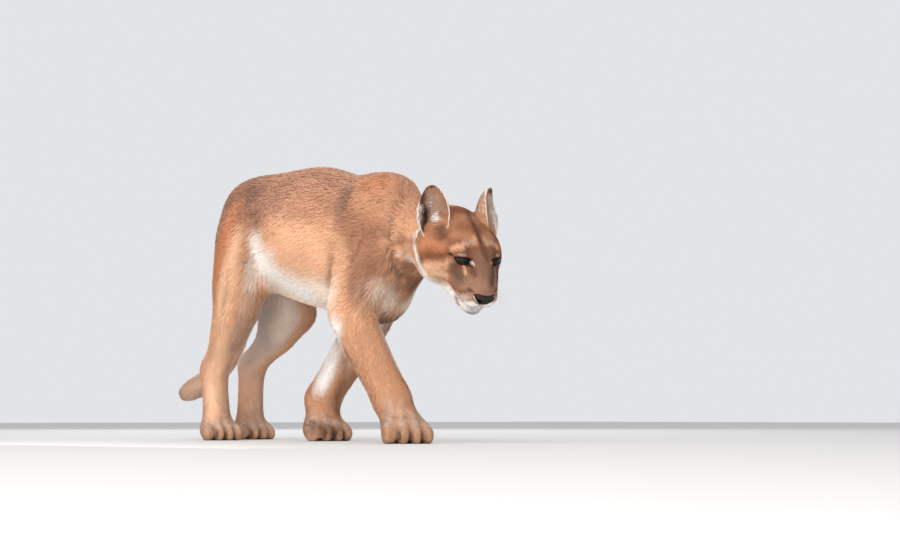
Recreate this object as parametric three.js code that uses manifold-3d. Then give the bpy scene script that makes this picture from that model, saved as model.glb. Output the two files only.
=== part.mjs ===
// A life-size cougar (Puma concolor) in mid-walk with its head carried low, as a still museum model.
// Millimetres, +Z up, the animal walks towards +X and its left side faces +Y.
// The whole body is one blended form of tapered sweeps and ellipsoids. It is meshed node by node,
// each node with a mesh width of its own, and thin planes part it into head, neck, torso, tail and legs.
import * as THREE from "three";
import { mergeVertices } from "three/addons/utils/BufferGeometryUtils.js";
import Module from "manifold-3d";

const wasm = await Module();
wasm.setup();

// Driving sizes
const gap = 0.3; // clearance between two touching nodes
const eyeRadius = 15.5;
const pawWidth = 96;
const pawLength = 122;
const lidThickness = 2.2;
const lidSlit = { across: 13, up: 7.5 }; // half sizes of the opening between the lids
const earHeight = 68;
const earWidth = 58;
const earLean = { right: 0.27, left: 0.37 }; // how far an ear leans outwards for its rise of 0.82

// Places of the skeleton in the walk: the right foreleg reaches forward and the left one trails
const headScale = 1.09; // of the head's own measures below to life
const headCentre = [487, 0, 380.5];
const headTurn = { left: -8.1, down: 44.8, roll: 3 }; // degrees
const foreRight = {
  side: -1,
  bladeTop: [278, -40, 516],
  shoulder: [354, -80, 381],
  elbow: [247, -86, 259],
  wrist: [345, -53, 88],
  paw: [381, -48, 0],
  pawTurn: -24,
};
const foreLeft = {
  side: 1,
  bladeTop: [226, 38, 530],
  shoulder: [208, 78, 378],
  elbow: [92, 82, 256],
  wrist: [-46, 56, 90],
  paw: [-22, 46, 0],
  pawTurn: -14,
};
const hindRight = {
  side: -1,
  hip: [-212, -58, 452],
  seat: [-249, -46, 420],
  knee: [-163, -80, 294],
  hock: [-297, -66, 156],
  paw: [-264, -72, 0],
  pawTurn: -12,
};
const hindLeft = {
  side: 1,
  hip: [-218, 58, 454],
  seat: [-254, 46, 420],
  knee: [-180, 78, 286],
  hock: [-362, 74, 170],
  paw: [-346, 66, 0],
  pawTurn: -8,
};

const point = ([x, y, z]) => new THREE.Vector3(x, y, z);
const between = (a, b, share) => point(a).lerp(point(b), share).toArray();
const degrees = THREE.MathUtils.degToRad;

// Distances to simple forms. Each form has a box, a distance and the reach of its blend into the rest.

// A chain of tapered links with elliptical sections along a smooth line of stations
// [x, y, z, half width across the body, half depth in the walking plane].
function sweep(stations, reach = 14, cuts = 4) {
  const line = new THREE.CatmullRomCurve3(stations.map(point));
  const sizes = new THREE.CatmullRomCurve3(
    stations.map(([, , , width, depth]) => point([width, depth, 0])),
  );
  const count = (stations.length - 1) * cuts;
  const across = new THREE.Vector3(0, 1, 0);
  const links = [];
  const box = new THREE.Box3();
  for (let i = 0; i < count; i++) {
    const a = line.getPoint(i / count);
    const b = line.getPoint((i + 1) / count);
    const sizeA = sizes.getPoint(i / count);
    const sizeB = sizes.getPoint((i + 1) / count);
    const along = b.clone().sub(a);
    const length = along.length();
    along.divideScalar(length);
    const side = across.clone().addScaledVector(along, -across.dot(along)).normalize();
    const depth = along.clone().cross(side);
    links.push({ a, along, length, side, depth, sizeA, sizeB });
    const most = Math.max(sizeA.x, sizeA.y, sizeB.x, sizeB.y);
    box.union(new THREE.Box3().setFromPoints([a, b]).expandByScalar(most));
  }
  const distance = (x, y, z) => {
    let best = Infinity;
    for (const { a, along, length, side, depth, sizeA, sizeB } of links) {
      const dx = x - a.x;
      const dy = y - a.y;
      const dz = z - a.z;
      const run = dx * along.x + dy * along.y + dz * along.z;
      const share = Math.min(Math.max(run / length, 0), 1);
      const past = run - share * length;
      const offSide = dx * side.x + dy * side.y + dz * side.z;
      const offDepth = dx * depth.x + dy * depth.y + dz * depth.z;
      const halfWidth = sizeA.x + (sizeB.x - sizeA.x) * share;
      const halfDepth = sizeA.y + (sizeB.y - sizeA.y) * share;
      const least = Math.min(halfWidth, halfDepth);
      const ratio = Math.hypot(offSide / halfWidth, offDepth / halfDepth, past / least);
      best = Math.min(best, (ratio - 1) * least);
    }
    return best;
  };
  return { box, distance, reach };
}

// An ellipsoid with half sizes [x, y, z], turned by degrees about X, Y and Z.
function ellipsoid(centre, halfSizes, turn = [0, 0, 0], reach = 16) {
  const [rx, ry, rz] = halfSizes;
  const toLocal = new THREE.Matrix4()
    .makeRotationFromEuler(new THREE.Euler(...turn.map(degrees)))
    .transpose().elements;
  const [cx, cy, cz] = centre;
  const distance = (x, y, z) => {
    const dx = x - cx;
    const dy = y - cy;
    const dz = z - cz;
    const lx = toLocal[0] * dx + toLocal[4] * dy + toLocal[8] * dz;
    const ly = toLocal[1] * dx + toLocal[5] * dy + toLocal[9] * dz;
    const lz = toLocal[2] * dx + toLocal[6] * dy + toLocal[10] * dz;
    const first = Math.hypot(lx / rx, ly / ry, lz / rz);
    const second = Math.hypot(lx / (rx * rx), ly / (ry * ry), lz / (rz * rz));
    return second < 1e-9 ? -Math.min(rx, ry, rz) : (first * (first - 1)) / second;
  };
  const most = Math.max(rx, ry, rz);
  const box = new THREE.Box3().setFromPoints([point(centre)]).expandByScalar(most);
  return { box, distance, reach };
}

// A form given in the frame of a group, such as the head's, carried into the body's frame.
function placed(form, matrix) {
  const inverse = matrix.clone().invert().elements;
  const scale = Math.cbrt(matrix.determinant());
  const distance = (x, y, z) =>
    scale *
    form.distance(
      inverse[0] * x + inverse[4] * y + inverse[8] * z + inverse[12],
      inverse[1] * x + inverse[5] * y + inverse[9] * z + inverse[13],
      inverse[2] * x + inverse[6] * y + inverse[10] * z + inverse[14],
    );
  return { ...form, box: form.box.clone().applyMatrix4(matrix), distance };
}

// One field from many forms: negative inside, smooth where forms meet.
function blend(forms) {
  return (x, y, z) => {
    let value = 1e3;
    for (const { box, distance, reach } of forms) {
      const away = Math.hypot(
        Math.max(box.min.x - x, 0, x - box.max.x),
        Math.max(box.min.y - y, 0, y - box.max.y),
        Math.max(box.min.z - z, 0, z - box.max.z),
      );
      if (away * 0.4 > Math.max(value, 0) + reach) continue;
      const other = distance(x, y, z);
      const near = Math.max(reach - Math.abs(value - other), 0) / reach;
      value = Math.min(value, other) - (near * near * reach) / 4;
    }
    return value;
  };
}

// Trunk stations from the rump to the breast: [x, height of the centre, half width, half height]
const trunkStations = [
  [-280, 480, 44, 74],
  [-230, 487, 82, 104],
  [-150, 473, 90, 119],
  [-60, 448, 92, 143],
  [30, 435, 96, 151],
  [120, 410, 98, 147],
  [208, 391, 92, 140],
  [280, 380, 58, 112],
  [326, 386, 34, 72],
];

function trunk() {
  return [
    sweep(
      trunkStations.map(([x, z, width, height]) => [x, 0, z, width, height]),
      40,
    ),
    ellipsoid([257, 0, 496], [84, 42, 48], [0, 12, 0], 40), // withers
    ellipsoid([246, 0, 294], [54, 44, 54], [0, -20, 0], 40), // brisket
  ];
}

function neck() {
  return [
    sweep(
      [
        [285, 0, 417, 58, 88],
        [350, -8, 406, 48, 73],
        [412, -12, 399, 48, 60],
        [458, -8, 391, 52, 54],
      ],
      40,
    ),
  ];
}

const headFrame = new THREE.Matrix4()
  .makeTranslation(...headCentre)
  .multiply(new THREE.Matrix4().makeRotationZ(degrees(headTurn.left)))
  .multiply(new THREE.Matrix4().makeRotationY(degrees(headTurn.down)))
  .multiply(new THREE.Matrix4().makeRotationX(degrees(headTurn.roll)))
  .multiply(new THREE.Matrix4().makeScale(headScale, headScale, headScale));
const inHead = (x, y, z) => new THREE.Vector3(x, y, z).applyMatrix4(headFrame);
const bothSides = (make) => [-1, 1].map(make);
const eyePlace = (side) => [66, side * 29.5, 24.5];

// The skull, cheeks, muzzle and jaw, in the head's own frame: x towards the nose, z up through the crown
function head() {
  const forms = [
    ellipsoid([-10, 0, 9], [74, 57, 46], [0, 0, 0], 20), // braincase
    ellipsoid([36, 0, 30], [46, 40, 28], [0, 20, 0], 24), // forehead
    ...bothSides((s) => ellipsoid([16, s * 48, -10], [50, 30, 42], [0, 0, s * -10], 24)), // cheeks
    ...bothSides((s) => ellipsoid([60, s * 27, 37], [20, 14, 10], [0, 22, s * -24], 14)), // brows
    ...bothSides((s) => ellipsoid([58, s * 32, 8], [20, 16, 20], [0, 0, s * -24], 14)), // eye rims
    sweep(
      [
        [62, 0, 30, 22, 20],
        [94, 0, 16, 20, 18],
        [124, 0, 2, 18, 14],
      ],
      16,
    ), // bridge of the nose
    ...bothSides((s) => ellipsoid([80, s * 25, -9], [36, 21, 24], [0, 12, s * -12], 18)), // upper jaw
    ...bothSides((s) => ellipsoid([108, s * 17, -20], [28, 20, 20], [0, 8, s * -12], 10)), // whisker pads
    sweep(
      [
        [8, 0, -40, 47, 30],
        [60, 0, -46, 33, 23],
        [100, 0, -50, 21, 16],
        [112, 0, -49, 16, 13],
      ],
      12,
    ), // lower jaw and chin
    ...bothSides((s) => ellipsoid([0, s * 42, -36], [42, 22, 28], [0, 0, 0], 24)), // jaw corners
    ellipsoid([-26, 0, -22], [56, 50, 44], [0, 0, 0], 30), // throat
  ];
  return forms.map((form) => placed(form, headFrame));
}

// One front leg from the shoulder blade to the wrist
function foreleg({ bladeTop, shoulder, elbow, wrist, side }) {
  const heel = [elbow[0] - 22, elbow[1], elbow[2] + 14];
  return [
    sweep(
      [
        [...bladeTop, 17, 46],
        [...between(bladeTop, shoulder, 0.5), 25, 58],
        [...shoulder, 34, 52],
      ],
      34,
    ),
    sweep(
      [
        [...shoulder, 38, 50],
        [...between(shoulder, elbow, 0.5), 40, 56],
        [...elbow, 36, 46],
      ],
      30,
    ),
    sweep(
      [
        [...between(bladeTop, heel, 0.4), 24, 50],
        [...between(bladeTop, heel, 0.75), 32, 44],
        [...heel, 26, 30],
      ],
      26,
    ), // the muscle behind the upper arm
    sweep(
      [
        [...elbow, 37, 47],
        [...between(elbow, wrist, 0.3), 40, 49],
        [...between(elbow, wrist, 0.65), 38, 43],
        [...wrist, 36, 38],
      ],
      22,
    ),
    ellipsoid([wrist[0] - 30, wrist[1] - side * 6, wrist[2] + 6], [12, 11, 14], [0, 0, 0], 14), // wrist pad
  ];
}

// One hind leg from the hip to the hock
function hindleg({ hip, seat, knee, hock }) {
  const calf = between(knee, hock, 0.44);
  return [
    sweep(
      [
        [...hip, 40, 54],
        [...between(hip, knee, 0.5), 44, 66],
        [...knee, 40, 48],
      ],
      44,
    ),
    sweep(
      [
        [...seat, 30, 40],
        [...between(seat, calf, 0.5), 38, 47],
        [...calf, 33, 44],
      ],
      40,
    ), // the back of the thigh
    sweep(
      [
        [...knee, 38, 44],
        [...calf, 33, 41],
        [...between(knee, hock, 0.78), 29, 36],
        [...hock, 28, 32],
      ],
      26,
    ),
    ellipsoid([hock[0] - 16, hock[1], hock[2] + 10], [17, 17, 22], [0, -24, 0], 14), // heel bone
  ];
}

// A paw with four toes, a sole pad and the short lower leg above it, in a frame at the floor under its middle
function paw({ paw: place, pawTurn, side }, top, hind) {
  const frame = new THREE.Matrix4()
    .makeTranslation(...place)
    .multiply(new THREE.Matrix4().makeRotationZ(degrees(pawTurn)));
  const size = hind ? 0.9 : 1;
  const width = pawWidth * size;
  const length = pawLength * size;
  const toes = [-1.5, -0.5, 0.5, 1.5].map((n) => {
    const spread = n * side * -1;
    const inner = Math.abs(n) < 1;
    return ellipsoid(
      [length * (inner ? 0.27 : 0.15), spread * width * 0.25, 17 * size],
      [31 * size, width * 0.15, 22 * size],
      [0, 6, spread * 7],
      6,
    );
  });
  const forms = [
    ellipsoid([-length * 0.14, 0, 22 * size], [38 * size, width * 0.42, 30 * size], [0, 0, 0], 14),
    ellipsoid([length * 0.04, 0, 30 * size], [36 * size, width * 0.4, 22 * size], [0, 16, 0], 14),
    ...toes,
  ].map((form) => placed(form, frame));
  const lower = hind ? [29, 30] : [36, 35];
  const ankle = new THREE.Vector3(-length * 0.1, 0, 34 * size).applyMatrix4(frame).toArray();
  forms.push(
    sweep(
      [
        [...top, ...lower],
        [...between(top, ankle, 0.5), lower[0] + 0.5, lower[1]],
        [...ankle, lower[0] + 3, lower[1] + 1],
      ],
      18,
    ),
  );
  return forms;
}

const tailStations = [
  [-292, 0, 504, 32, 30],
  [-326, 12, 480, 26, 25],
  [-370, 48, 422, 23, 22],
  [-404, 80, 350, 22, 21],
  [-426, 90, 278, 22, 22],
  [-446, 76, 204, 24, 24],
  [-480, 50, 152, 27, 27],
  [-524, 26, 122, 28, 28],
  [-552, 12, 108, 22, 22],
];

const bodyForms = [
  ...trunk(),
  ...neck(),
  ...head(),
  ...foreleg(foreRight),
  ...foreleg(foreLeft),
  ...hindleg(hindRight),
  ...hindleg(hindLeft),
  ...paw(foreRight, foreRight.wrist, false),
  ...paw(foreLeft, foreLeft.wrist, false),
  ...paw(hindRight, hindRight.hock, true),
  ...paw(hindLeft, hindLeft.hock, true),
  sweep(tailStations, 24),
];
const bodyField = blend(bodyForms);

// Meshes the zero surface of a field on a turned grid: one vertex in each cell that the surface
// crosses, pulled onto the surface. The grid's own faces close it where the region cuts the body.
function netSurface(field, { centre, size, step, turn = {} }) {
  const { left = 0, down = 0, roll = 0 } = turn;
  const axes = new THREE.Matrix4()
    .makeRotationZ(degrees(left))
    .multiply(new THREE.Matrix4().makeRotationY(degrees(down)))
    .multiply(new THREE.Matrix4().makeRotationX(degrees(roll)));
  const counts = size.map((length, i) => Math.ceil(length / step[i]) + 2);
  const corner = new THREE.Vector3(...counts.map((n, i) => (-(n - 1) * step[i]) / 2));
  const frame = axes.clone().setPosition(...centre);
  const world = (i, j, k) =>
    new THREE.Vector3(i * step[0], j * step[1], k * step[2]).add(corner).applyMatrix4(frame);
  const [nx, ny, nz] = counts;
  const at = (i, j, k) => (k * ny + j) * nx + i;
  const values = new Float32Array(nx * ny * nz);
  const onEdge = (i, j, k) =>
    i === 0 || j === 0 || k === 0 || i === nx - 1 || j === ny - 1 || k === nz - 1;
  for (let k = 0; k < nz; k++)
    for (let j = 0; j < ny; j++)
      for (let i = 0; i < nx; i++) {
        const p = world(i, j, k);
        values[at(i, j, k)] = onEdge(i, j, k) ? 1 : field(p.x, p.y, p.z);
      }
  const cellVertex = new Int32Array(nx * ny * nz).fill(-1);
  const places = [];
  const corners = [0, 1, 2, 3, 4, 5, 6, 7].map((n) => [n & 1, (n >> 1) & 1, (n >> 2) & 1]);
  const edges = [];
  for (let a = 0; a < 8; a++)
    for (const bit of [1, 2, 4]) if (!(a & bit)) edges.push([a, a | bit]);
  for (let k = 0; k < nz - 1; k++)
    for (let j = 0; j < ny - 1; j++)
      for (let i = 0; i < nx - 1; i++) {
        const found = corners.map(([a, b, c]) => values[at(i + a, j + b, k + c)]);
        if (found.every((v) => v < 0) || found.every((v) => v >= 0)) continue;
        const sum = [0, 0, 0];
        let crossings = 0;
        for (const [a, b] of edges) {
          if (found[a] < 0 === found[b] < 0) continue;
          const share = found[a] / (found[a] - found[b]);
          for (let axis = 0; axis < 3; axis++)
            sum[axis] += corners[a][axis] + (corners[b][axis] - corners[a][axis]) * share;
          crossings++;
        }
        const p = world(i + sum[0] / crossings, j + sum[1] / crossings, k + sum[2] / crossings);
        const inside = i > 0 && j > 0 && k > 0 && i < nx - 2 && j < ny - 2 && k < nz - 2;
        if (inside) pullOnto(field, p, Math.min(...step) * 0.5);
        cellVertex[at(i, j, k)] = places.length;
        places.push(p);
      }
  const index = [];
  const quad = (a, b, c, d) => {
    if (places[a].distanceToSquared(places[c]) < places[b].distanceToSquared(places[d]))
      index.push(a, b, c, a, c, d);
    else index.push(b, c, d, b, d, a);
  };
  const axisSteps = [
    [1, 0, 0],
    [0, 1, 0],
    [0, 0, 1],
  ];
  for (let k = 0; k < nz - 1; k++)
    for (let j = 0; j < ny - 1; j++)
      for (let i = 0; i < nx - 1; i++)
        axisSteps.forEach(([a, b, c], axis) => {
          const here = values[at(i, j, k)] < 0;
          if (here === values[at(i + a, j + b, k + c)] < 0) return;
          const u = axisSteps[(axis + 1) % 3];
          const v = axisSteps[(axis + 2) % 3];
          const cell = (du, dv) => {
            const [ci, cj, ck] = [i, j, k].map((n, m) => n - du * u[m] - dv * v[m]);
            return cellVertex[at(ci, cj, ck)];
          };
          const ring = [cell(1, 1), cell(0, 1), cell(0, 0), cell(1, 0)];
          quad(...(here ? ring : ring.reverse()));
        });
  const geometry = new THREE.BufferGeometry();
  geometry.setAttribute(
    "position",
    new THREE.BufferAttribute(new Float32Array(places.flatMap((p) => p.toArray())), 3),
  );
  geometry.setIndex(index);
  return geometry;
}

// Moves a point along the field's slope until it lies on the zero surface.
function pullOnto(field, p, most) {
  const start = p.clone();
  const reach = 0.5;
  for (let turn = 0; turn < 3; turn++) {
    const value = field(p.x, p.y, p.z);
    const slope = new THREE.Vector3(
      field(p.x + reach, p.y, p.z) - field(p.x - reach, p.y, p.z),
      field(p.x, p.y + reach, p.z) - field(p.x, p.y - reach, p.z),
      field(p.x, p.y, p.z + reach) - field(p.x, p.y, p.z - reach),
    ).divideScalar(2 * reach);
    const steep = slope.lengthSq();
    if (steep < 1e-4) break;
    p.addScaledVector(slope, -value / steep);
  }
  if (p.distanceTo(start) > most) p.copy(start.lerp(p, most / p.distanceTo(start)));
}

// A closed three.js geometry as a solid for joining and cutting.
function solidOf(geometry) {
  const bare = geometry.index ? geometry.clone() : geometry;
  for (const name of ["normal", "uv"]) bare.deleteAttribute(name);
  const merged = mergeVertices(bare, 1e-4);
  return new wasm.Manifold(
    new wasm.Mesh({
      numProp: 3,
      vertProperties: merged.attributes.position.array,
      triVerts: new Uint32Array(merged.index.array),
    }),
  );
}

// The half of space that lies against the normal, as a large box with one face on the plane.
function halfSpace({ at, normal }, grow = 0) {
  const reach = 3000;
  const out = point(normal).normalize();
  const turn = new THREE.Quaternion().setFromUnitVectors(new THREE.Vector3(0, 0, 1), out);
  const centre = point(at).addScaledVector(out, grow - reach / 2);
  const box = new THREE.BoxGeometry(reach, reach, reach);
  box.applyQuaternion(turn).translate(centre.x, centre.y, centre.z);
  return solidOf(box);
}
const region = (planes, grow = 0) =>
  planes.map((plane) => halfSpace(plane, grow)).reduce((a, b) => a.intersect(b));
const flipped = ({ at, normal }) => ({ at, normal: normal.map((n) => -n) });

// The largest closed surface of a solid, which drops loose scraps and fills sealed hollows.
function wholePiece(solid) {
  const pieces = solid.decompose();
  return pieces.reduce((a, b) => (Math.abs(a.volume()) > Math.abs(b.volume()) ? a : b));
}

// A solid as a geometry. Corners nearer than weldReach become one, and faces that this flattens
// go, one by one or as the two sides of a fold.
const weldReach = 0.02;
function geometryOf(solid) {
  const { vertProperties, triVerts, numProp } = solid.getMesh();
  const count = vertProperties.length / numProp;
  const places = new Float32Array(count * 3);
  for (let i = 0; i < count; i++)
    places.set(vertProperties.subarray(i * numProp, i * numProp + 3), i * 3);
  const loose = new THREE.BufferGeometry();
  loose.setAttribute("position", new THREE.BufferAttribute(places, 3));
  loose.setIndex(new THREE.BufferAttribute(new Uint32Array(triVerts), 1));
  const geometry = mergeVertices(loose, weldReach);
  const corners = geometry.index.array;
  const faces = new Map();
  for (let i = 0; i < corners.length; i += 3) {
    const [a, b, c] = corners.subarray(i, i + 3);
    if (a === b || b === c || c === a) continue;
    const key = [a, b, c].sort().join();
    if (!faces.delete(key)) faces.set(key, [a, b, c]);
  }
  geometry.setIndex([...faces.values()].flat());
  geometry.computeVertexNormals();
  return geometry;
}

// Thin planes that part the body. Each keeps the side that its normal points away from.
const floor = { at: [0, 0, 0], normal: [0, 0, -1] };
const neckBase = { at: [394, 0, 413], normal: [-0.97, 0, -0.2] };
const neckTop = {
  at: inHead(-46, 0, 0).toArray(),
  normal: inHead(-1, 0, -0.1).sub(inHead(0, 0, 0)).toArray(),
};
const tailBase = { at: [-356, 34, 446], normal: [0.6, 0, 0.8] };
const tailCuts = [
  { at: [-408, 84, 338], normal: [0.2, 0, 0.98] },
  { at: [-454, 70, 190], normal: [0.4, 0, 0.9] },
];
const forelegRegion = ({ elbow, side }) => [
  { at: [elbow[0], elbow[1], 230], normal: [side * 0.22, side * 0.08, 0.96] },
  { at: [0, side * 0.2, 0], normal: [0, -side, 0] },
  { at: [elbow[0] + 240, 0, 0], normal: [1, 0, 0] },
  { at: [elbow[0] - 200, 0, 0], normal: [-1, 0, 0] },
];
const hindlegRegion = ({ side }) => [
  { at: [-250, 0, 372], normal: [0, side * -0.34, 0.94] },
  { at: [0, side * 0.2, 0], normal: [0, -side, 0] },
  { at: [-84, 0, 0], normal: [1, 0, 0] },
  { at: [-396, 0, 0], normal: [-1, 0, 0] },
];
const wristPlane = ({ wrist, elbow }) => ({
  at: wrist,
  normal: point(elbow).sub(point(wrist)).normalize().toArray(),
});
const kneePlane = ({ knee }) => ({
  at: [knee[0] - 30, knee[1], knee[2] - 30],
  normal: [0.55, 0, 0.84],
});
const hockPlane = ({ hock }) => ({ at: [hock[0], hock[1], hock[2] - 30], normal: [-0.3, 0, 0.95] });

// A grid whose third axis runs from one point to another, with room past both ends.
function limbGrid(from, to, [across, deep], step, past = 60) {
  const along = point(to).sub(point(from));
  const turn = THREE.MathUtils.radToDeg(Math.atan2(along.x, along.z));
  const size = [deep, across, along.length() + 2 * past];
  return { centre: between(from, to, 0.5), size, step, turn: { down: turn } };
}

// One part of the blended body: meshed in its own grid and kept inside its own planes.
function bodyPart(grid, keep, leave = []) {
  const whole = solidOf(netSurface(bodyField, grid)).intersect(region(keep));
  return leave.reduce((solid, planes) => solid.subtract(region(planes, gap)), whole);
}
const clear = ({ at, normal }) => {
  const inward = point(normal).normalize().multiplyScalar(-gap);
  return { at: point(at).add(inward).toArray(), normal };
};

const model = new THREE.Group();
const headGroup = new THREE.Group();
headGroup.applyMatrix4(headFrame);
model.add(headGroup);
const furFinish = { roughness: 0.9, metalness: 0 };
const tawny = new THREE.MeshStandardMaterial({ color: 0xb9855a, ...furFinish });
const pale = new THREE.MeshStandardMaterial({ color: 0xd8b48c, ...furFinish });
const noseLeather = new THREE.MeshStandardMaterial({ color: 0x2a2220, roughness: 0.55 });
const eyeGlaze = new THREE.MeshStandardMaterial({ color: 0x3a2a1a, roughness: 0.15 });

function add(name, solid, material) {
  const mesh = new THREE.Mesh(geometryOf(wholePiece(solid)), material);
  mesh.name = name;
  model.add(mesh);
}

const forelegs = { right: foreRight, left: foreLeft };
const hindlegs = { right: hindRight, left: hindLeft };

const legRegions = [
  ...Object.values(forelegs).map(forelegRegion),
  ...Object.values(hindlegs).map(hindlegRegion),
];
const torsoGrid = { centre: [10, 0, 410], size: [960, 320, 520], step: [33, 24, 22.8] };
add("torso", bodyPart(torsoGrid, [flipped(neckBase), flipped(tailBase)], legRegions), tawny);

const neckGrid = { centre: [420, -4, 410], size: [300, 260, 330], step: [18, 17, 17] };
add("neck", bodyPart(neckGrid, [clear(neckBase), flipped(neckTop)]), tawny);

const headGrid = {
  centre: inHead(30, 0, 0).toArray(),
  size: [270, 200, 200],
  step: [10.8, 10.4, 10.4],
  turn: headTurn,
};
const headSize = (grow) => {
  const grown = (x, y, z) => bodyField(x, y, z) - grow;
  return solidOf(netSurface(grown, headGrid));
};
const carried = (geometry) => geometry.applyMatrix4(headFrame);

const ballGeometry = (grow = 0) => new THREE.SphereGeometry(eyeRadius + grow, 15, 9);
const socket = (side) => solidOf(carried(ballGeometry(gap * 1.6).translate(...eyePlace(side))));

// The lids: a shell over the ball, cut open along an almond-shaped slit
const gaze = (side) => new THREE.Vector3(0.87, side * 0.48, 0.02).normalize();
function lidShell(side) {
  const shell = new THREE.SphereGeometry(eyeRadius + lidThickness, 14, 10);
  return solidOf(carried(shell.translate(...eyePlace(side))));
}
function lidOpening(side) {
  const { across, up } = lidSlit;
  const almond = new THREE.Shape();
  almond.moveTo(-across, -up * 0.35);
  almond.quadraticCurveTo(-across * 0.1, up * 1.6, across, up * 0.4);
  almond.quadraticCurveTo(across * 0.1, -up * 2, -across, -up * 0.35);
  const slit = new THREE.ExtrudeGeometry(almond, { depth: 60, bevelEnabled: false, curveSegments: 7 });
  const ahead = gaze(side);
  const outward = new THREE.Vector3(0, side, 0).cross(ahead).cross(ahead).multiplyScalar(-1).normalize();
  const upward = ahead.clone().cross(outward);
  const frame = new THREE.Matrix4().makeBasis(outward, upward, ahead).setPosition(...eyePlace(side));
  return solidOf(carried(slit.applyMatrix4(frame)));
}

// The bare pad of the nose, broad at the top and narrow at the lip
function nosePad(grow = 0) {
  const pad = new THREE.SphereGeometry(1, 14, 9);
  const places = pad.attributes.position;
  for (let i = 0; i < places.count; i++) {
    const [x, y, z] = [places.getX(i), places.getY(i), places.getZ(i)];
    const half = (20.5 + grow) * (1 + 0.3 * z);
    places.setXYZ(i, 125.5 + (14 + grow) * x, half * y, -12.5 + (13 + grow) * z);
  }
  return solidOf(carried(pad));
}
function nostril(side) {
  const hole = new THREE.SphereGeometry(1, 8, 6).scale(9, 5.5, 4);
  hole.rotateX(degrees(side * 28)).rotateZ(degrees(side * 24)).translate(138, side * 12, -13);
  return solidOf(carried(hole));
}

// The line between the lips, a thin curved plate that only reaches lipDepth under the surface
const lipDepth = 7;
function mouthLine() {
  const line = new THREE.CatmullRomCurve3(
    [
      [62, -40],
      [84, -35],
      [106, -37],
      [124, -33],
      [150, -26],
    ].map(([x, z]) => new THREE.Vector3(x, z, 0)),
  ).getPoints(12);
  const half = 1.4;
  const outline = new THREE.Shape([
    ...line.map(({ x, y }) => new THREE.Vector2(x, y + half)),
    ...line.reverse().map(({ x, y }) => new THREE.Vector2(x, y - half)),
  ]);
  const plate = new THREE.ExtrudeGeometry(outline, { depth: 160, bevelEnabled: false });
  plate.translate(0, 0, -80).rotateX(Math.PI / 2);
  return solidOf(carried(plate)).subtract(headSize(-lipDepth));
}

// One ear: a thin leaf rolled into a cup, open forwards and outwards, its root sunk in the head
function ear(side, lean) {
  const rise = new THREE.Vector3(-0.52, side * lean, 0.82).normalize();
  const facing = new THREE.Vector3(0.66, side * 0.62, 0.38);
  facing.addScaledVector(rise, -facing.dot(rise)).normalize();
  const across = rise.clone().cross(facing);
  const root = new THREE.Vector3(-24, side * 46, 32).addScaledVector(rise, -16);
  const rows = 8;
  const columns = 10;
  const thickness = 3.2;
  const faces = [thickness / 2, -thickness / 2];
  const places = faces.map((offset) => {
    const sheet = [];
    for (let i = 0; i <= rows; i++)
      for (let j = 0; j <= columns; j++) {
        const up = i / rows;
        const round = Math.sqrt(Math.max(1 - ((up - 0.3) / 0.72) ** 2, 0.012));
        const roll = degrees(118 - 58 * up) * (2 * (j / columns) - 1);
        const radius = (earWidth / 2) * (up < 0.3 ? 0.76 + 0.8 * up : round) - offset;
        const spot = root.clone().addScaledVector(rise, (earHeight + 16) * up);
        spot.addScaledVector(across, radius * Math.sin(roll));
        spot.addScaledVector(facing, -radius * Math.cos(roll) + (earWidth / 3) * (1 - up));
        sheet.push(spot);
      }
    return sheet;
  });
  return solidOf(carried(thickSheet(places, rows, columns)));
}

// Closes two like grids of points, one on each face of a thin sheet, into one body.
function thickSheet([front, back], rows, columns) {
  const wide = columns + 1;
  const count = wide * (rows + 1);
  const index = [];
  for (let i = 0; i < rows; i++)
    for (let j = 0; j < columns; j++) {
      const a = i * wide + j;
      const [b, c, d] = [a + 1, a + wide + 1, a + wide];
      index.push(a, b, c, a, c, d);
      index.push(a + count, c + count, b + count, a + count, d + count, c + count);
    }
  const wall = (a, b) => index.push(a, a + count, b + count, a, b + count, b);
  for (let j = 0; j < columns; j++) {
    wall(j, j + 1);
    wall(rows * wide + j + 1, rows * wide + j);
  }
  for (let i = 0; i < rows; i++) {
    wall((i + 1) * wide, i * wide);
    wall(i * wide + columns, (i + 1) * wide + columns);
  }
  const geometry = new THREE.BufferGeometry();
  const places = [...front, ...back].flatMap((p) => p.toArray());
  geometry.setAttribute("position", new THREE.BufferAttribute(new Float32Array(places), 3));
  geometry.setIndex(index);
  return geometry;
}

function buildHead() {
  const skull = headSize(0).intersect(region([clear(neckTop), clear(neckBase)]));
  const withLids = bothSides(lidShell).reduce((solid, lid) => solid.add(lid), skull);
  return [
    ...bothSides(socket),
    ...bothSides(lidOpening),
    nosePad(gap * 1.6),
    mouthLine(),
  ].reduce((solid, cut) => solid.subtract(cut), withLids);
}
add("head", buildHead(), tawny);
const sides = { right: -1, left: 1 };
const nostrils = Object.values(sides).map(nostril);
add("nose", nostrils.reduce((solid, hole) => solid.subtract(hole), nosePad()), noseLeather);
for (const [name, side] of Object.entries(sides)) {
  add(`ear_${name}`, ear(side, earLean[name]).subtract(headSize(gap * 1.6)), tawny);
  const eye = new THREE.Mesh(ballGeometry(), eyeGlaze);
  eye.name = `eye_${name}`;
  eye.position.set(...eyePlace(side));
  headGroup.add(eye);
}

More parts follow.
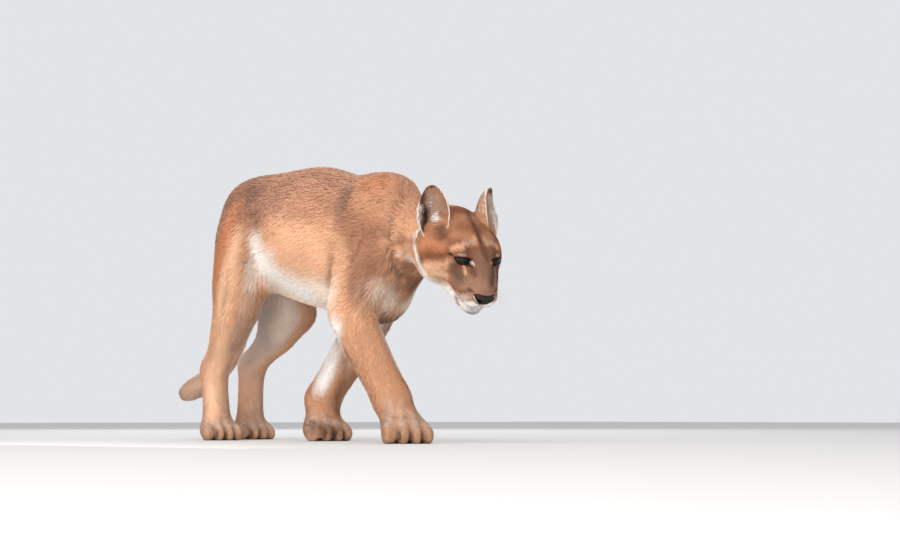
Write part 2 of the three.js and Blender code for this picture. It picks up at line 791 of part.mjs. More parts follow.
for (const [name, leg] of Object.entries(forelegs)) {
  const upper = forelegRegion(leg);
  const wristCut = wristPlane(leg);
  const armGrid = limbGrid(leg.wrist, leg.elbow, [160, 200], [16, 16, 26], 90);
  add(`foreleg_${name}`, bodyPart(armGrid, [...upper, flipped(wristCut)]), tawny);
  const [x, y] = leg.paw;
  const pawGrid = { centre: [x - 4, y, 60], size: [190, 130, 170], step: [11.6, 10.6, 11.6] };
  add(`forepaw_${name}`, bodyPart(pawGrid, [...upper, clear(wristCut), floor]), pale);
}

for (const [name, leg] of Object.entries(hindlegs)) {
  const upper = hindlegRegion(leg);
  const kneeCut = kneePlane(leg);
  const hockCut = hockPlane(leg);
  const [, ky, kz] = leg.knee;
  const thighGrid = { centre: [-240, ky, kz + 30], size: [380, 210, 250], step: [21, 19, 20.5] };
  add(`thigh_${name}`, bodyPart(thighGrid, [...upper, flipped(kneeCut)]), tawny);
  const shankGrid = limbGrid(leg.hock, leg.knee, [130, 190], [16, 16, 20], 80);
  add(`shank_${name}`, bodyPart(shankGrid, [...upper, clear(kneeCut), flipped(hockCut)]), tawny);
  const [x, y] = leg.paw;
  const footGrid = { centre: [x - 20, y, 80], size: [210, 120, 220], step: [11.6, 10.6, 14] };
  add(`hindfoot_${name}`, bodyPart(footGrid, [...upper, clear(hockCut), floor]), pale);
}

const tailGrid = (from, to) => limbGrid(from, to, [130, 120], [13, 13, 20], 60);
const [tailUpper, tailLower] = tailCuts;
const tailPart = (name, from, to, planes) =>
  add(name, bodyPart(tailGrid(from, to), planes), tawny);
const [tailStart, tailUpperEnd, tailLowerEnd] = [tailBase, tailUpper, tailLower].map(({ at }) => at);
tailPart("tail_root", tailUpperEnd, tailStart, [clear(tailBase), flipped(tailUpper)]);
tailPart("tail_middle", tailLowerEnd, tailUpperEnd, [clear(tailUpper), flipped(tailLower)]);
tailPart("tail_tip", tailStations.at(-1).slice(0, 3), tailLowerEnd, [clear(tailLower)]);

// The origin goes under the middle of the whole animal, at the floor
model.updateMatrixWorld(true);
const middle = new THREE.Box3().setFromObject(model, true).getCenter(new THREE.Vector3());
model.position.set(-middle.x, -middle.y, 0);

export default model;
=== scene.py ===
import math

import bmesh
import bpy
import numpy as np
from mathutils import Euler, Matrix, Vector
from mathutils.bvhtree import BVHTree


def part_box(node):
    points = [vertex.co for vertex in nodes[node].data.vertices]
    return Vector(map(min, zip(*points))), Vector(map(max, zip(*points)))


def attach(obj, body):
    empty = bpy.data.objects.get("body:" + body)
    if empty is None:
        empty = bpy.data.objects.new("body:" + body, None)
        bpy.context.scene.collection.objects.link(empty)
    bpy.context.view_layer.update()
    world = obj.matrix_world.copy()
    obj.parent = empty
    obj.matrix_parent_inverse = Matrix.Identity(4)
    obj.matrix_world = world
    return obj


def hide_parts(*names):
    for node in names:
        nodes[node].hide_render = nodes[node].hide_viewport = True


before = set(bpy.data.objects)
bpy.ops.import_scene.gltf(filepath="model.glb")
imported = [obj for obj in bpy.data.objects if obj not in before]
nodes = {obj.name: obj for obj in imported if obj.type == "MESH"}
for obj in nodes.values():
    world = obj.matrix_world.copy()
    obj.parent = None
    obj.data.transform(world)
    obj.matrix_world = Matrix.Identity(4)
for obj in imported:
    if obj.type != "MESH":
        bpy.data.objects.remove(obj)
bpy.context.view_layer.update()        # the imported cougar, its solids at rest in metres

scene = bpy.context.scene
rng = np.random.default_rng(7)

eyeNames = ["eye_right", "eye_left"]
fleshNames = [name for name in nodes if name not in eyeNames + ["nose"]]

# The camera of the photograph: low on the right side, a little ahead of the shoulder
camera = {
    "place": (2.96334, -2.04264, 0.05),
    "turn": 50.87,           # degrees left of straight back
    "rise": 4.838,
    "focal": 1684.0,         # in pixels of the photograph
    "frame": (900, 550),
}

# The head's own frame, in millimetres before its size: x to the nose, y left, z through the crown
headPose = {
    "left": -8.1,
    "down": 44.8,
    "roll": 3.0,
    "size": 1.09,
    "eye": (66.0, 29.5, 24.5),
    "eyeRadius": 15.5,
}


def unit(vectors):
    return vectors / np.maximum(np.linalg.norm(vectors, axis=-1, keepdims=True), 1e-9)


def smoothStep(low, high, value):
    share = np.clip((value - low) / (high - low), 0.0, 1.0)
    return share * share * (3.0 - 2.0 * share)


def paintedShare(value, centre, reach):
    return np.exp(-(((value - centre) / reach) ** 2))


def boxMiddle(name):
    low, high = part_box(name)
    return (Vector(low) + Vector(high)) / 2


headTurn = (
    Matrix.Rotation(math.radians(headPose["left"]), 3, "Z")
    @ Matrix.Rotation(math.radians(headPose["down"]), 3, "Y")
    @ Matrix.Rotation(math.radians(headPose["roll"]), 3, "X")
)
headScale = headPose["size"] / 1000
eyeMiddle = (boxMiddle("eye_right") + boxMiddle("eye_left")) / 2
headCentre = eyeMiddle - headTurn @ Vector((headPose["eye"][0], 0, headPose["eye"][2])) * headScale
headAxes = np.array(headTurn)
headOrigin = np.array(headCentre)


def toHead(places):
    return (places - headOrigin) @ headAxes / headScale


def fromHead(places):
    return np.asarray(places, dtype=float) @ headAxes.T * headScale + headOrigin


def acrossHead(places):
    return fromHead(toHead(np.atleast_2d(places)) * (1, -1, 1))


def acrossBody(places):
    return np.atleast_2d(places) * (1, -1, 1)


def eyeCentre(side):
    return np.array(headPose["eye"]) * (1, side, 1)


# Each paw's own frame on the floor, in millimetres: ahead along the turned foot, left and up
paws = {
    "turn": {"forepaw_right": -24, "forepaw_left": -14, "hindfoot_right": -12, "hindfoot_left": -8},
    "tip": {"forepaw": 62, "hindfoot": 56},          # from the middle of the foot to the tips of its toes
    "toe": {"forepaw": 24, "hindfoot": 21.6},        # from one toe to the next
}


def pawFrame(name):
    kind = name.split("_")[0]
    turn = math.radians(paws["turn"][name])
    ahead = np.array((math.cos(turn), math.sin(turn), 0))
    left = np.array((-math.sin(turn), math.cos(turn), 0))
    sole = np.array([vertex.co[:] for vertex in nodes[name].data.vertices])
    sole = sole[sole[:, 2] < 0.03]
    front = (sole @ ahead).max() - paws["tip"][kind] / 1000
    across = sole @ left
    return ahead * front + left * (across.max() + across.min()) / 2, ahead, left


def toPaw(places, name):
    middle, ahead, left = pawFrame(name)
    away = (places - middle) * 1000
    return away @ ahead, away @ left, places[:, 2] * 1000


# A ray from the camera through a pixel of the photograph
def pixelWay(u, v):
    wide, high = camera["frame"]
    way = Vector(((u - wide / 2) / camera["focal"], (high / 2 - v) / camera["focal"], -1)).normalized()
    way.rotate(Euler((math.radians(90 + camera["rise"]), 0, math.radians(camera["turn"]))))
    return way


# Where the ray through a pixel first meets a surface
def hitPixel(tree, u, v):
    return tree.ray_cast(Vector(camera["place"]), pixelWay(u, v))[0]


# Meshes as arrays and back
def vertexArray(mesh):
    values = np.empty(len(mesh.vertices) * 3)
    mesh.vertices.foreach_get("co", values)
    return values.reshape(-1, 3)


def setVertices(mesh, places):
    mesh.vertices.foreach_set("co", places.astype(np.float32).ravel())
    mesh.update()


def edgeArray(mesh):
    values = np.empty(len(mesh.edges) * 2, dtype=np.int32)
    mesh.edges.foreach_get("vertices", values)
    return values.reshape(-1, 2)


def triangleArray(mesh):
    mesh.calc_loop_triangles()
    values = np.empty(len(mesh.loop_triangles) * 3, dtype=np.int32)
    mesh.loop_triangles.foreach_get("vertices", values)
    return values.reshape(-1, 3)


def normalArray(mesh):
    values = np.empty(len(mesh.vertices) * 3, dtype=np.float32)
    mesh.vertex_normals.foreach_get("vector", values)
    return values.reshape(-1, 3).astype(float)


def neighbourMean(values, edges, degree):
    total = np.empty_like(values)
    for column in range(values.shape[1]):
        total[:, column] = np.bincount(edges[:, 0], values[edges[:, 1], column], len(values))
        total[:, column] += np.bincount(edges[:, 1], values[edges[:, 0], column], len(values))
    return total / degree[:, None]


# Each value moves a share of the way to the mean of its neighbours, some rounds in a row
def relax(values, edges, share, rounds):
    degree = np.maximum(np.bincount(edges.ravel(), minlength=len(values)), 1).astype(float)
    for _ in range(rounds):
        values = values + (neighbourMean(values, edges, degree) - values) * share
    return values


def meshFrom(work, name):
    made = bpy.data.meshes.new(name)
    work.to_mesh(made)
    work.free()
    return made


def newObject(name, mesh, material=None):
    thing = bpy.data.objects.new(name, mesh)
    scene.collection.objects.link(thing)
    if material:
        mesh.materials.append(material)
    return thing


def applied(thing, name):
    graph = bpy.context.evaluated_depsgraph_get()
    mesh = bpy.data.meshes.new_from_object(thing.evaluated_get(graph))
    mesh.name = name
    bpy.data.objects.remove(thing)
    return mesh


def smoothShade(mesh):
    mesh.polygons.foreach_set("use_smooth", np.ones(len(mesh.polygons), dtype=bool))


# Colours of the coat, and of the shade painted on it, as seen on screen, turned to linear light
coatColours = {
    "back": (0.76, 0.56, 0.46),
    # dark grizzled hairs; the same colour is also painted shade in creases
    "grizzle": (0.48, 0.36, 0.31),
    "tawny": (0.80, 0.58, 0.44),
    "rust": (0.79, 0.52, 0.37),
    # brown of the shoulder; the same colour is also painted shade in creases and on shaded edges
    "shoulder": (0.60, 0.42, 0.32),
    "rib": (0.90, 0.69, 0.55),
    "buff": (0.94, 0.77, 0.65),
    "cream": (0.95, 0.87, 0.80),
    "white": (0.97, 0.95, 0.93),
    "greyCream": (0.83, 0.76, 0.71),
    "grey": (0.64, 0.54, 0.48),
    "leg": (0.775, 0.57, 0.445),
    "paw": (0.71, 0.55, 0.45),
    "face": (0.54, 0.345, 0.245),
    "faceRust": (0.50, 0.30, 0.20),
    "bridge": (0.53, 0.39, 0.32),
    "muzzle": (0.62, 0.47, 0.38),
    "smudge": (0.36, 0.26, 0.22),
    # dark markings; the same colour is also painted shade in the neck crease and on the far side of the face
    "brown": (0.28, 0.18, 0.14),
    "dark": (0.14, 0.09, 0.08),
    "black": (0.035, 0.028, 0.028),
    "mauve": (0.40, 0.27, 0.25),
    "earBack": (0.70, 0.53, 0.43),
    # painted shade: grey of the chin's shaded underside
    "chin": (0.58, 0.54, 0.53),
    # pale coat of the thighs, laid lighter as painted light where the front light falls
    "thigh": (0.96, 0.76, 0.62),
}


def linear(colour):
    value = np.array(colour)
    return np.where(value <= 0.04045, value / 12.92, ((value + 0.055) / 1.055) ** 2.4)


paint = {name: linear(colour) for name, colour in coatColours.items()}

# The skin: every solid of flesh in one closed surface, fine on the head and the paws
skinMake = {
    "overlap": 0.0007,       # each solid grows by this, so that the joints between them close
    "voxel": 0.0026,
    "bodyRounds": 60,
    "headRounds": 5,
    "keep": 0.26,            # share of the body's faces that stay
    "pawTop": (0.05, 0.10),  # heights between which the fine mesh of the paws ends
}


def fleshCopy():
    joined = bmesh.new()
    for name in fleshNames + eyeNames:
        piece = bmesh.new()
        piece.from_mesh(nodes[name].data)
        bmesh.ops.remove_doubles(piece, verts=piece.verts, dist=1e-6)
        bmesh.ops.recalc_face_normals(piece, faces=piece.faces)
        piece.normal_update()
        for vertex in piece.verts:
            vertex.co += vertex.normal * skinMake["overlap"]
        grown = meshFrom(piece, "grown")
        joined.from_mesh(grown)
        bpy.data.meshes.remove(grown)
    return meshFrom(joined, "flesh")


def largestPart(mesh):
    work = bmesh.new()
    work.from_mesh(mesh)
    work.verts.ensure_lookup_table()
    seen = np.zeros(len(work.verts), dtype=bool)
    parts = []
    for start in work.verts:
        if seen[start.index]:
            continue
        group = [start]
        seen[start.index] = True
        for vertex in group:
            for edge in vertex.link_edges:
                other = edge.other_vert(vertex)
                if not seen[other.index]:
                    seen[other.index] = True
                    group.append(other)
        parts.append(group)
    parts.sort(key=len)
    for group in parts[:-1]:
        bmesh.ops.delete(work, geom=group, context="VERTS")
    work.to_mesh(mesh)
    work.free()
    return len(parts)


def meshTree(mesh):
    return BVHTree.FromPolygons(vertexArray(mesh).tolist(), triangleArray(mesh).tolist())


# Which solid lies nearest to each point, and how far its surface is
def solidsTree():
    places, faces, owners = [], [], []
    for number, name in enumerate(fleshNames):
        mesh = nodes[name].data
        start = len(places)
        places.extend(vertex.co[:] for vertex in mesh.vertices)
        faces.extend([start + i for i in face.vertices] for face in mesh.polygons)
        owners.extend([number] * len(mesh.polygons))
    return BVHTree.FromPolygons(places, faces), np.array(owners)


solids, solidOwner = solidsTree()


def lookUp(places):
    owner = np.empty(len(places), dtype=int)
    height = np.empty(len(places))
    for index, place in enumerate(places):
        found, normal, face, far = solids.find_nearest(place)
        owner[index] = solidOwner[face]
        height[index] = far if (Vector(place) - found).dot(normal) > 0 else -far
    return owner, height


def headnessOf(places):
    return 1 - smoothStep(95, 150, np.linalg.norm(toHead(places) - np.array((30, 0, 0)), axis=1))


def skinMesh():
    flesh = newObject("flesh", fleshCopy())
    remesh = flesh.modifiers.new("oneSurface", "REMESH")
    remesh.mode = "VOXEL"
    remesh.voxel_size = skinMake["voxel"]
    remesh.use_smooth_shade = True
    mesh = applied(flesh, "skin")
    parts = largestPart(mesh)
    places = vertexArray(mesh)
    edges = edgeArray(mesh)
    coarse = 1 - headnessOf(places)
    soft = coarse * (0.12 + 0.88 * smoothStep(*skinMake["pawTop"], places[:, 2]))
    places = relax(places, edges, 0.5 * soft[:, None], skinMake["bodyRounds"])
    places = relax(places, edges, 0.35, skinMake["headRounds"])
    setVertices(mesh, places)
    print("skin remeshed:", len(places), "points,", parts, "parts")
    skin = newObject("skin", mesh)
    group = skin.vertex_groups.new(name="body")
    coarse *= 0.45 + 0.55 * smoothStep(*skinMake["pawTop"], places[:, 2])
    for step in range(21):
        chosen = np.flatnonzero(np.abs(coarse - step / 20) <= 0.025)
        group.add(chosen.tolist(), step / 20, "REPLACE")
    thin = skin.modifiers.new("coarserBody", "DECIMATE")
    thin.ratio = skinMake["keep"]
    thin.vertex_group = "body"
    thin.vertex_group_factor = 4.0
    return applied(skin, "skin")


# Split the faces of a region in four, with the faces around it fitted to them
def refine(mesh, chosen):
    work = bmesh.new()
    work.from_mesh(mesh)
    work.verts.ensure_lookup_table()
    edges = [edge for edge in work.edges if chosen[edge.verts[0].index] and chosen[edge.verts[1].index]]
    bmesh.ops.subdivide_edges(work, edges=edges, cuts=1, use_grid_fill=True)
    bmesh.ops.triangulate(work, faces=work.faces)
    work.to_mesh(mesh)
    work.free()


faceZone = {
    "fine": 34.0,            # everything ahead of this, in the head's frame
    "eyeReach": 25.0,
    "mouth": (84.0, 8.0),    # the muzzle ahead of and below these
}


def refineFace(mesh):
    local = toHead(vertexArray(mesh))
    refine(mesh, (local[:, 0] > faceZone["fine"]) & (np.abs(local[:, 1]) < 75) & (local[:, 2] > -90))
    local = toHead(vertexArray(mesh))
    close = np.zeros(len(local), dtype=bool)
    for side in (-1, 1):
        close |= np.linalg.norm(local - eyeCentre(side), axis=1) < faceZone["eyeReach"]
    ahead, below = faceZone["mouth"]
    close |= (local[:, 0] > ahead) & (local[:, 2] < below) & (np.abs(local[:, 1]) < 48)
    refine(mesh, close)


def refinePaws(mesh):
    places = vertexArray(mesh)
    close = np.zeros(len(places), dtype=bool)
    for name in paws["turn"]:
        x, y, z = toPaw(places, name)
        close |= (x > -12) & (x < 75) & (np.abs(y) < 60) & (z < 52)
    refine(mesh, close)


mesh = skinMesh()
print("skin thinned:", len(mesh.vertices), "points")
refineFace(mesh)
refinePaws(mesh)
mesh.validate()
print("face refined:", len(mesh.vertices), "points,", len(triangleArray(mesh)), "triangles")


# What each point of the skin belongs to: its solid, and the kind of part, which the solid's name begins with
points = vertexArray(mesh)
edges = edgeArray(mesh)
owner, height = lookUp(points)
group = np.array([name.split("_")[0] for name in fleshNames])[owner]


def ofSolid(name):
    return owner == fleshNames.index(name)


def share(*names, rounds=6):
    return relax(np.isin(group, names).astype(float)[:, None], edges, 0.6, rounds)[:, 0]


faceShare = headnessOf(points)
pawShare = share("forepaw", "hindfoot", rounds=10)
legShare = share("foreleg", "shank", rounds=14)
tailShare = share("tail")
earShare = share("ear", rounds=2)

# Depth of the coat, in metres, by part
coatDepth = {"body": 0.0042, "leg": 0.0028, "paw": 0.0016, "head": 0.0012, "tail": 0.0046, "ear": 0.0006}
depth = np.full(len(points), coatDepth["body"])
shares = {"leg": legShare, "paw": pawShare, "tail": tailShare, "head": faceShare, "ear": earShare}
for name, value in shares.items():
    depth += (coatDepth[name] - depth) * value


# The thin leaves of the ears keep to their solids
def holdEars():
    held = points.copy()
    for index in np.flatnonzero(earShare > 0.3):
        found, normal, _, _ = solids.find_nearest(points[index])
        held[index] = np.array(found) - np.array(normal) * coatDepth["ear"]
    return held + (relax(held, edges, 0.4, 2) - held) * smoothStep(0.3, 0.6, earShare)[:, None]


points += (holdEars() - points) * smoothStep(0.3, 0.8, earShare)[:, None]
setVertices(mesh, points)


def settle():
    setVertices(mesh, points)
    return normalArray(mesh), meshTree(mesh)


# Bring the smoothed skin back to an even depth under the solids
missing = relax((-depth - height)[:, None], edges, 0.5, 30)[:, 0]
normals = normalArray(mesh)
points += normals * (missing * (1 - earShare))[:, None]
normals, skinTree = settle()
print("skin under the coat")


# Toes: a groove between each two and a knuckle on each
toeShape = {"groove": 4.8, "width": 3.2, "knuckle": 3.0}
toeGap = np.zeros(len(points))
toeTop = np.zeros(len(points))


def shapeToes():
    push = np.zeros(len(points))
    for name in paws["turn"]:
        x, y, z = toPaw(points, name)
        mine = relax(ofSolid(name).astype(float)[:, None], edges, 0.6, 2)[:, 0]
        toe = paws["toe"][name.split("_")[0]]
        nearest = np.clip(np.round(y / toe), -1, 1) * toe
        start = np.where(np.abs(nearest) > 1, 4, 12)
        groove = paintedShare(y, nearest, toeShape["width"]) * smoothStep(start, start + 26, x) * mine
        groove *= 1 - smoothStep(20, 38, z)
        centre = (np.clip(np.floor(y / toe), -2, 1) + 0.5) * toe
        inner = np.abs(centre) < toe
        knuckle = paintedShare(y, centre, toe * 0.34) * paintedShare(x, np.where(inner, 30, 16), 15) * mine
        knuckle *= smoothStep(16, 30, z)
        push += knuckle * toeShape["knuckle"] - groove * toeShape["groove"]
        toeGap[:] = np.maximum(toeGap, groove)
        toeTop[:] = np.maximum(toeTop, knuckle)
    return points + normals * push[:, None] / 1000


points = shapeToes()
normals, skinTree = settle()


# Paths through named pixels of the photograph, cast onto the skin
def castPixels(pixels, spacing=1.0):
    found = []
    for (u0, v0), (u1, v1) in zip(pixels, pixels[1:] + pixels[-1:]):
        steps = max(1, int(math.hypot(u1 - u0, v1 - v0) / spacing))
        for step in range(steps):
            hit = hitPixel(skinTree, u0 + (u1 - u0) * step / steps, v0 + (v1 - v0) * step / steps)
            if hit is not None:
                found.append(hit[:])
    return np.array(found)


def ontoSkin(places):
    return np.array([skinTree.find_nearest(place)[0][:] for place in places])


mirrors = {"body": acrossBody, "head": acrossHead}


# A path of pixels on the skin, and its twin on the other side where it has one
def bothSides(pixels, mirror):
    path = castPixels(pixels)
    return [path] + ([ontoSkin(mirrors[mirror](path))] if mirror else [])


# Distance from each point of the skin to a path, and how far along the path it lies
def nearPath(path, reach):
    low, high = path.min(0) - reach, path.max(0) + reach
    close = np.flatnonzero(((points > low) & (points < high)).all(1))
    far = np.full(len(points), reach * 1.0)
    along = np.zeros(len(points))
    if len(close):
        gaps = np.linalg.norm(points[close][:, None] - path[None], axis=2)
        far[close] = np.minimum(gaps.min(1), reach)
        along[close] = gaps.argmin(1) / max(len(path) - 1, 1)
    return far, along


# The eye opening, from the lids seen in the photograph, as angles about the eyeball
eyePixels = {
    "outline": [
        (454.4, 257.4), (457.0, 257.0), (459.5, 257.2), (462.4, 257.7), (465.8, 257.8), (468.4, 258.5),
        (469.8, 260.8), (470.9, 264.6), (468.5, 264.5), (465.8, 264.4), (462.4, 264.3), (460.0, 263.4),
        (457.9, 262.0), (455.9, 259.7),
    ],
    "pupil": (466.3, 260.9),
}
eyeSkin = {
    "lid": 1.5,          # height of the lid's edge over the eyeball, in the head's millimetres
    "pocket": 4.0,       # how far the skin goes behind the eyeball's front inside the opening
    "blend": 8.0,
    "rim": 2.4,
    "inset": 1.2,        # the photograph's dark outline holds this much of the rim
}
eyeRight = eyeCentre(-1)
eyeWorld = Vector(fromHead(eyeRight[None])[0])


def onEyeball(pixel):
    place = Vector(camera["place"])
    way = pixelWay(*pixel)
    radius = headPose["eyeRadius"] * headScale
    ahead = (eyeWorld - place).dot(way)
    closest = place + way * ahead
    gap = (closest - eyeWorld).length
    if gap < radius:
        closest -= way * math.sqrt(radius * radius - gap * gap)
    return unit(toHead(np.array(closest)[None])[0] - eyeRight)


pupilWay = onEyeball(eyePixels["pupil"])
outlineWays = np.array([onEyeball(pixel) for pixel in eyePixels["outline"]])


def eyeAxes(side):
    gaze = pupilWay * (1, -side, 1)
    out = unit(np.cross(np.array((0, 0, 1.0)), gaze))
    out = out * (1 if out[1] * side > 0 else -1)
    return gaze, out, unit(np.cross(gaze, out)) * (1 if np.cross(gaze, out)[2] > 0 else -1)


# Flat coordinates around the pupil, in millimetres over the eyeball
def eyeFlat(ways, side):
    gaze, out, up = eyeAxes(side)
    angle = np.arccos(np.clip(ways @ gaze, -1, 1))
    plane = unit(np.stack((ways @ out, ways @ up), axis=-1))
    return plane * (angle * headPose["eyeRadius"])[..., None]


outlineFlat = eyeFlat(outlineWays, -1)


def insideOutline(places):
    start = outlineFlat
    end = np.roll(outlineFlat, -1, axis=0)
    run = end - start
    away = places[:, None] - start[None]
    share = np.clip((away * run).sum(2) / (run * run).sum(1), 0, 1)
    gap = np.linalg.norm(away - run * share[:, :, None], axis=2).min(1)
    crosses = (start[None, :, 1] > places[:, None, 1]) != (end[None, :, 1] > places[:, None, 1])
    climb = np.where(run[:, 1] == 0, 1e-9, run[:, 1])
    level = start[:, 0] + (places[:, None, 1] - start[:, 1]) * run[:, 0] / climb
    odd = (crosses & (places[:, None, 0] < level)).sum(1) % 2 == 1
    return np.where(odd, gap, -gap)


eyeGap = np.full(len(points), -99.0)     # how far inside the opening each point lies, negative outside


def openEyes():
    local = toHead(points)
    for side in (-1, 1):
        centre = eyeCentre(side)
        away = local - centre
        radius = np.linalg.norm(away, axis=1)
        close = np.flatnonzero(radius < faceZone["eyeReach"])
        ways = unit(away[close])
        gaze = eyeAxes(side)[0]
        inside = insideOutline(eyeFlat(ways, side)) - eyeSkin["inset"]
        inside[ways @ gaze < 0.1] = -99
        edge = headPose["eyeRadius"] + eyeSkin["lid"]
        lid = 1 - smoothStep(0, eyeSkin["blend"], -inside)
        reach = radius[close] + (edge - radius[close]) * lid
        hole = smoothStep(-0.2, 1.1, inside)
        reach += (headPose["eyeRadius"] - eyeSkin["pocket"] - reach) * hole
        local[close] = centre + ways * reach[:, None]
        eyeGap[close] = np.maximum(eyeGap[close], inside)
    return fromHead(local)


points = openEyes()
normals, skinTree = settle()

# Creases and folds: a path in pixels, a width and a depth in millimetres, and the side they are mirrored over
folds = {
    "neckCrease": (
        [(404, 186), (398, 204), (393, 222), (391, 240), (394, 260), (401, 280), (405, 292)], 8, 6, "body",
    ),
    "bladeRear": ([(352, 186), (347, 203), (344, 220)], 13, 3.5, "body"),
    "foldRear": ([(336, 228), (336, 246), (332, 268), (328, 290)], 5, 3.5, "body"),
    "foldMiddle": ([(343, 238), (341, 262), (339, 286)], 4, 2.2, "body"),
    "foldFront": ([(350, 222), (352, 245), (354, 270), (352, 296)], 6, 4, "body"),
    "elbowFold": ([(355, 305), (363, 311), (372, 319)], 5, 2.5, None),
    "chestMark": ([(362, 295), (369, 291), (376, 287)], 4, 2.5, None),
    "thighFront": ([(254, 196), (257, 212), (258, 226)], 9, 4, "body"),
    "hamString": ([(232, 262), (228, 290), (222, 312)], 6, 2.5, None),
    "wristFold": ([(387, 416.5), (394, 416), (402, 417), (410, 416.5)], 4, 2.0, None),
    "farWristFold": ([(303, 424), (311, 425), (318, 421)], 3.5, 2.4, None),
    "brow": ([(452, 251), (457, 252.6), (463, 253.4), (468, 254)], 3.6, 1.5, "head"),
    "underEye": ([(456, 266.5), (461, 269.5), (467, 270.5)], 3, 1.0, "head"),
    "mouth": (
        [(457.6, 300), (459, 303.6), (463, 306.6), (468, 308.7), (474, 309.4), (480, 308.4), (482.6, 306.9)],
        1.6, 1.8, "head",
    ),
    "lipCrease": ([(457.5, 293.5), (463, 292.4), (469, 291)], 2.6, 1.2, "head"),
    "foreheadLine": ([(472, 222), (476, 230), (480, 239), (483.4, 248)], 4.5, 1.5, None),
}


def evenNoise(rounds):
    noise = relax(rng.normal(0, 1, (len(points), 1)), edges, 0.6, rounds)[:, 0]
    return noise / noise.std()


speckle = evenNoise(2)
wander = evenNoise(7)
patches = evenNoise(14)
foldShade = np.zeros(len(points))
placedFolds = {name: bothSides(pixels, mirror) for name, (pixels, _, _, mirror) in folds.items()}
for name, (_, wide, deep, _) in folds.items():
    width = wide / 1000
    for path in placedFolds[name]:
        far, along = nearPath(path, width * 4)
        far = far + wander * width * 0.25 * (1 - faceShare)
        taper = smoothStep(0, 0.18, along) * (1 - smoothStep(0.82, 1, along))
        ratio = far / width
        fade = 1 - smoothStep(3, 4, ratio)
        push = (0.45 * np.exp(-((ratio / 2.1) ** 2)) - 1.45 * np.exp(-ratio * ratio)) * taper * fade
        points += normals * (push * (deep / 1000))[:, None]
        # painted shade: each crease is also laid darker along its middle
        shade = np.exp(-((far / (width * 0.8)) ** 2)) * taper * min(1, deep / 3)
        foldShade = np.maximum(foldShade, shade)
normals, skinTree = settle()

# Where the skin is hollow or crowned, from its own shape evened out
crown = ((points - relax(points, edges, 0.6, 8)) * normals).sum(1) * 1000
print("skin shaped")


def alongSkin(ways, facing):
    return unit(ways - facing * (ways * facing).sum(1)[:, None])


# The way the coat lies: along each part, evened out over the skin
lie = {
    "neck": (-1.0, 0.0, -0.25),
    "torso": (-1.0, 0.0, -0.3),
    "foreleg": (-0.1, 0.0, -1.0),
    "forepaw": (0.8, 0.0, -0.6),
    "thigh": (-0.45, 0.0, -1.0),
    "shank": (-0.3, 0.0, -1.0),
    "hindfoot": (0.5, 0.0, -0.8),
}


def coatFlow():
    flow = np.zeros_like(points)
    for name, way in lie.items():
        flow[group == name] = unit(np.array(way))
    upper, middle, end = (points[ofSolid("tail_" + name)].mean(0) for name in ("root", "middle", "tip"))
    flow[ofSolid("tail_root")] = unit(middle - upper)
    flow[ofSolid("tail_middle")] = unit(end - upper)
    flow[ofSolid("tail_tip")] = unit(end - middle)
    fromNose = unit(toHead(points) - np.array((128.0, 0, -10)))
    onHead = group == "head"
    flow[onHead] = (fromNose @ headAxes.T)[onHead]
    for name in ("ear_right", "ear_left"):
        side = 1 if "left" in name else -1
        chosen = ofSolid(name)
        flow[chosen] = unit(points[chosen] - fromHead([[-24, 46 * side, 20]])[0])
    return alongSkin(relax(flow, edges, 0.6, 25), normals)


flow = coatFlow()

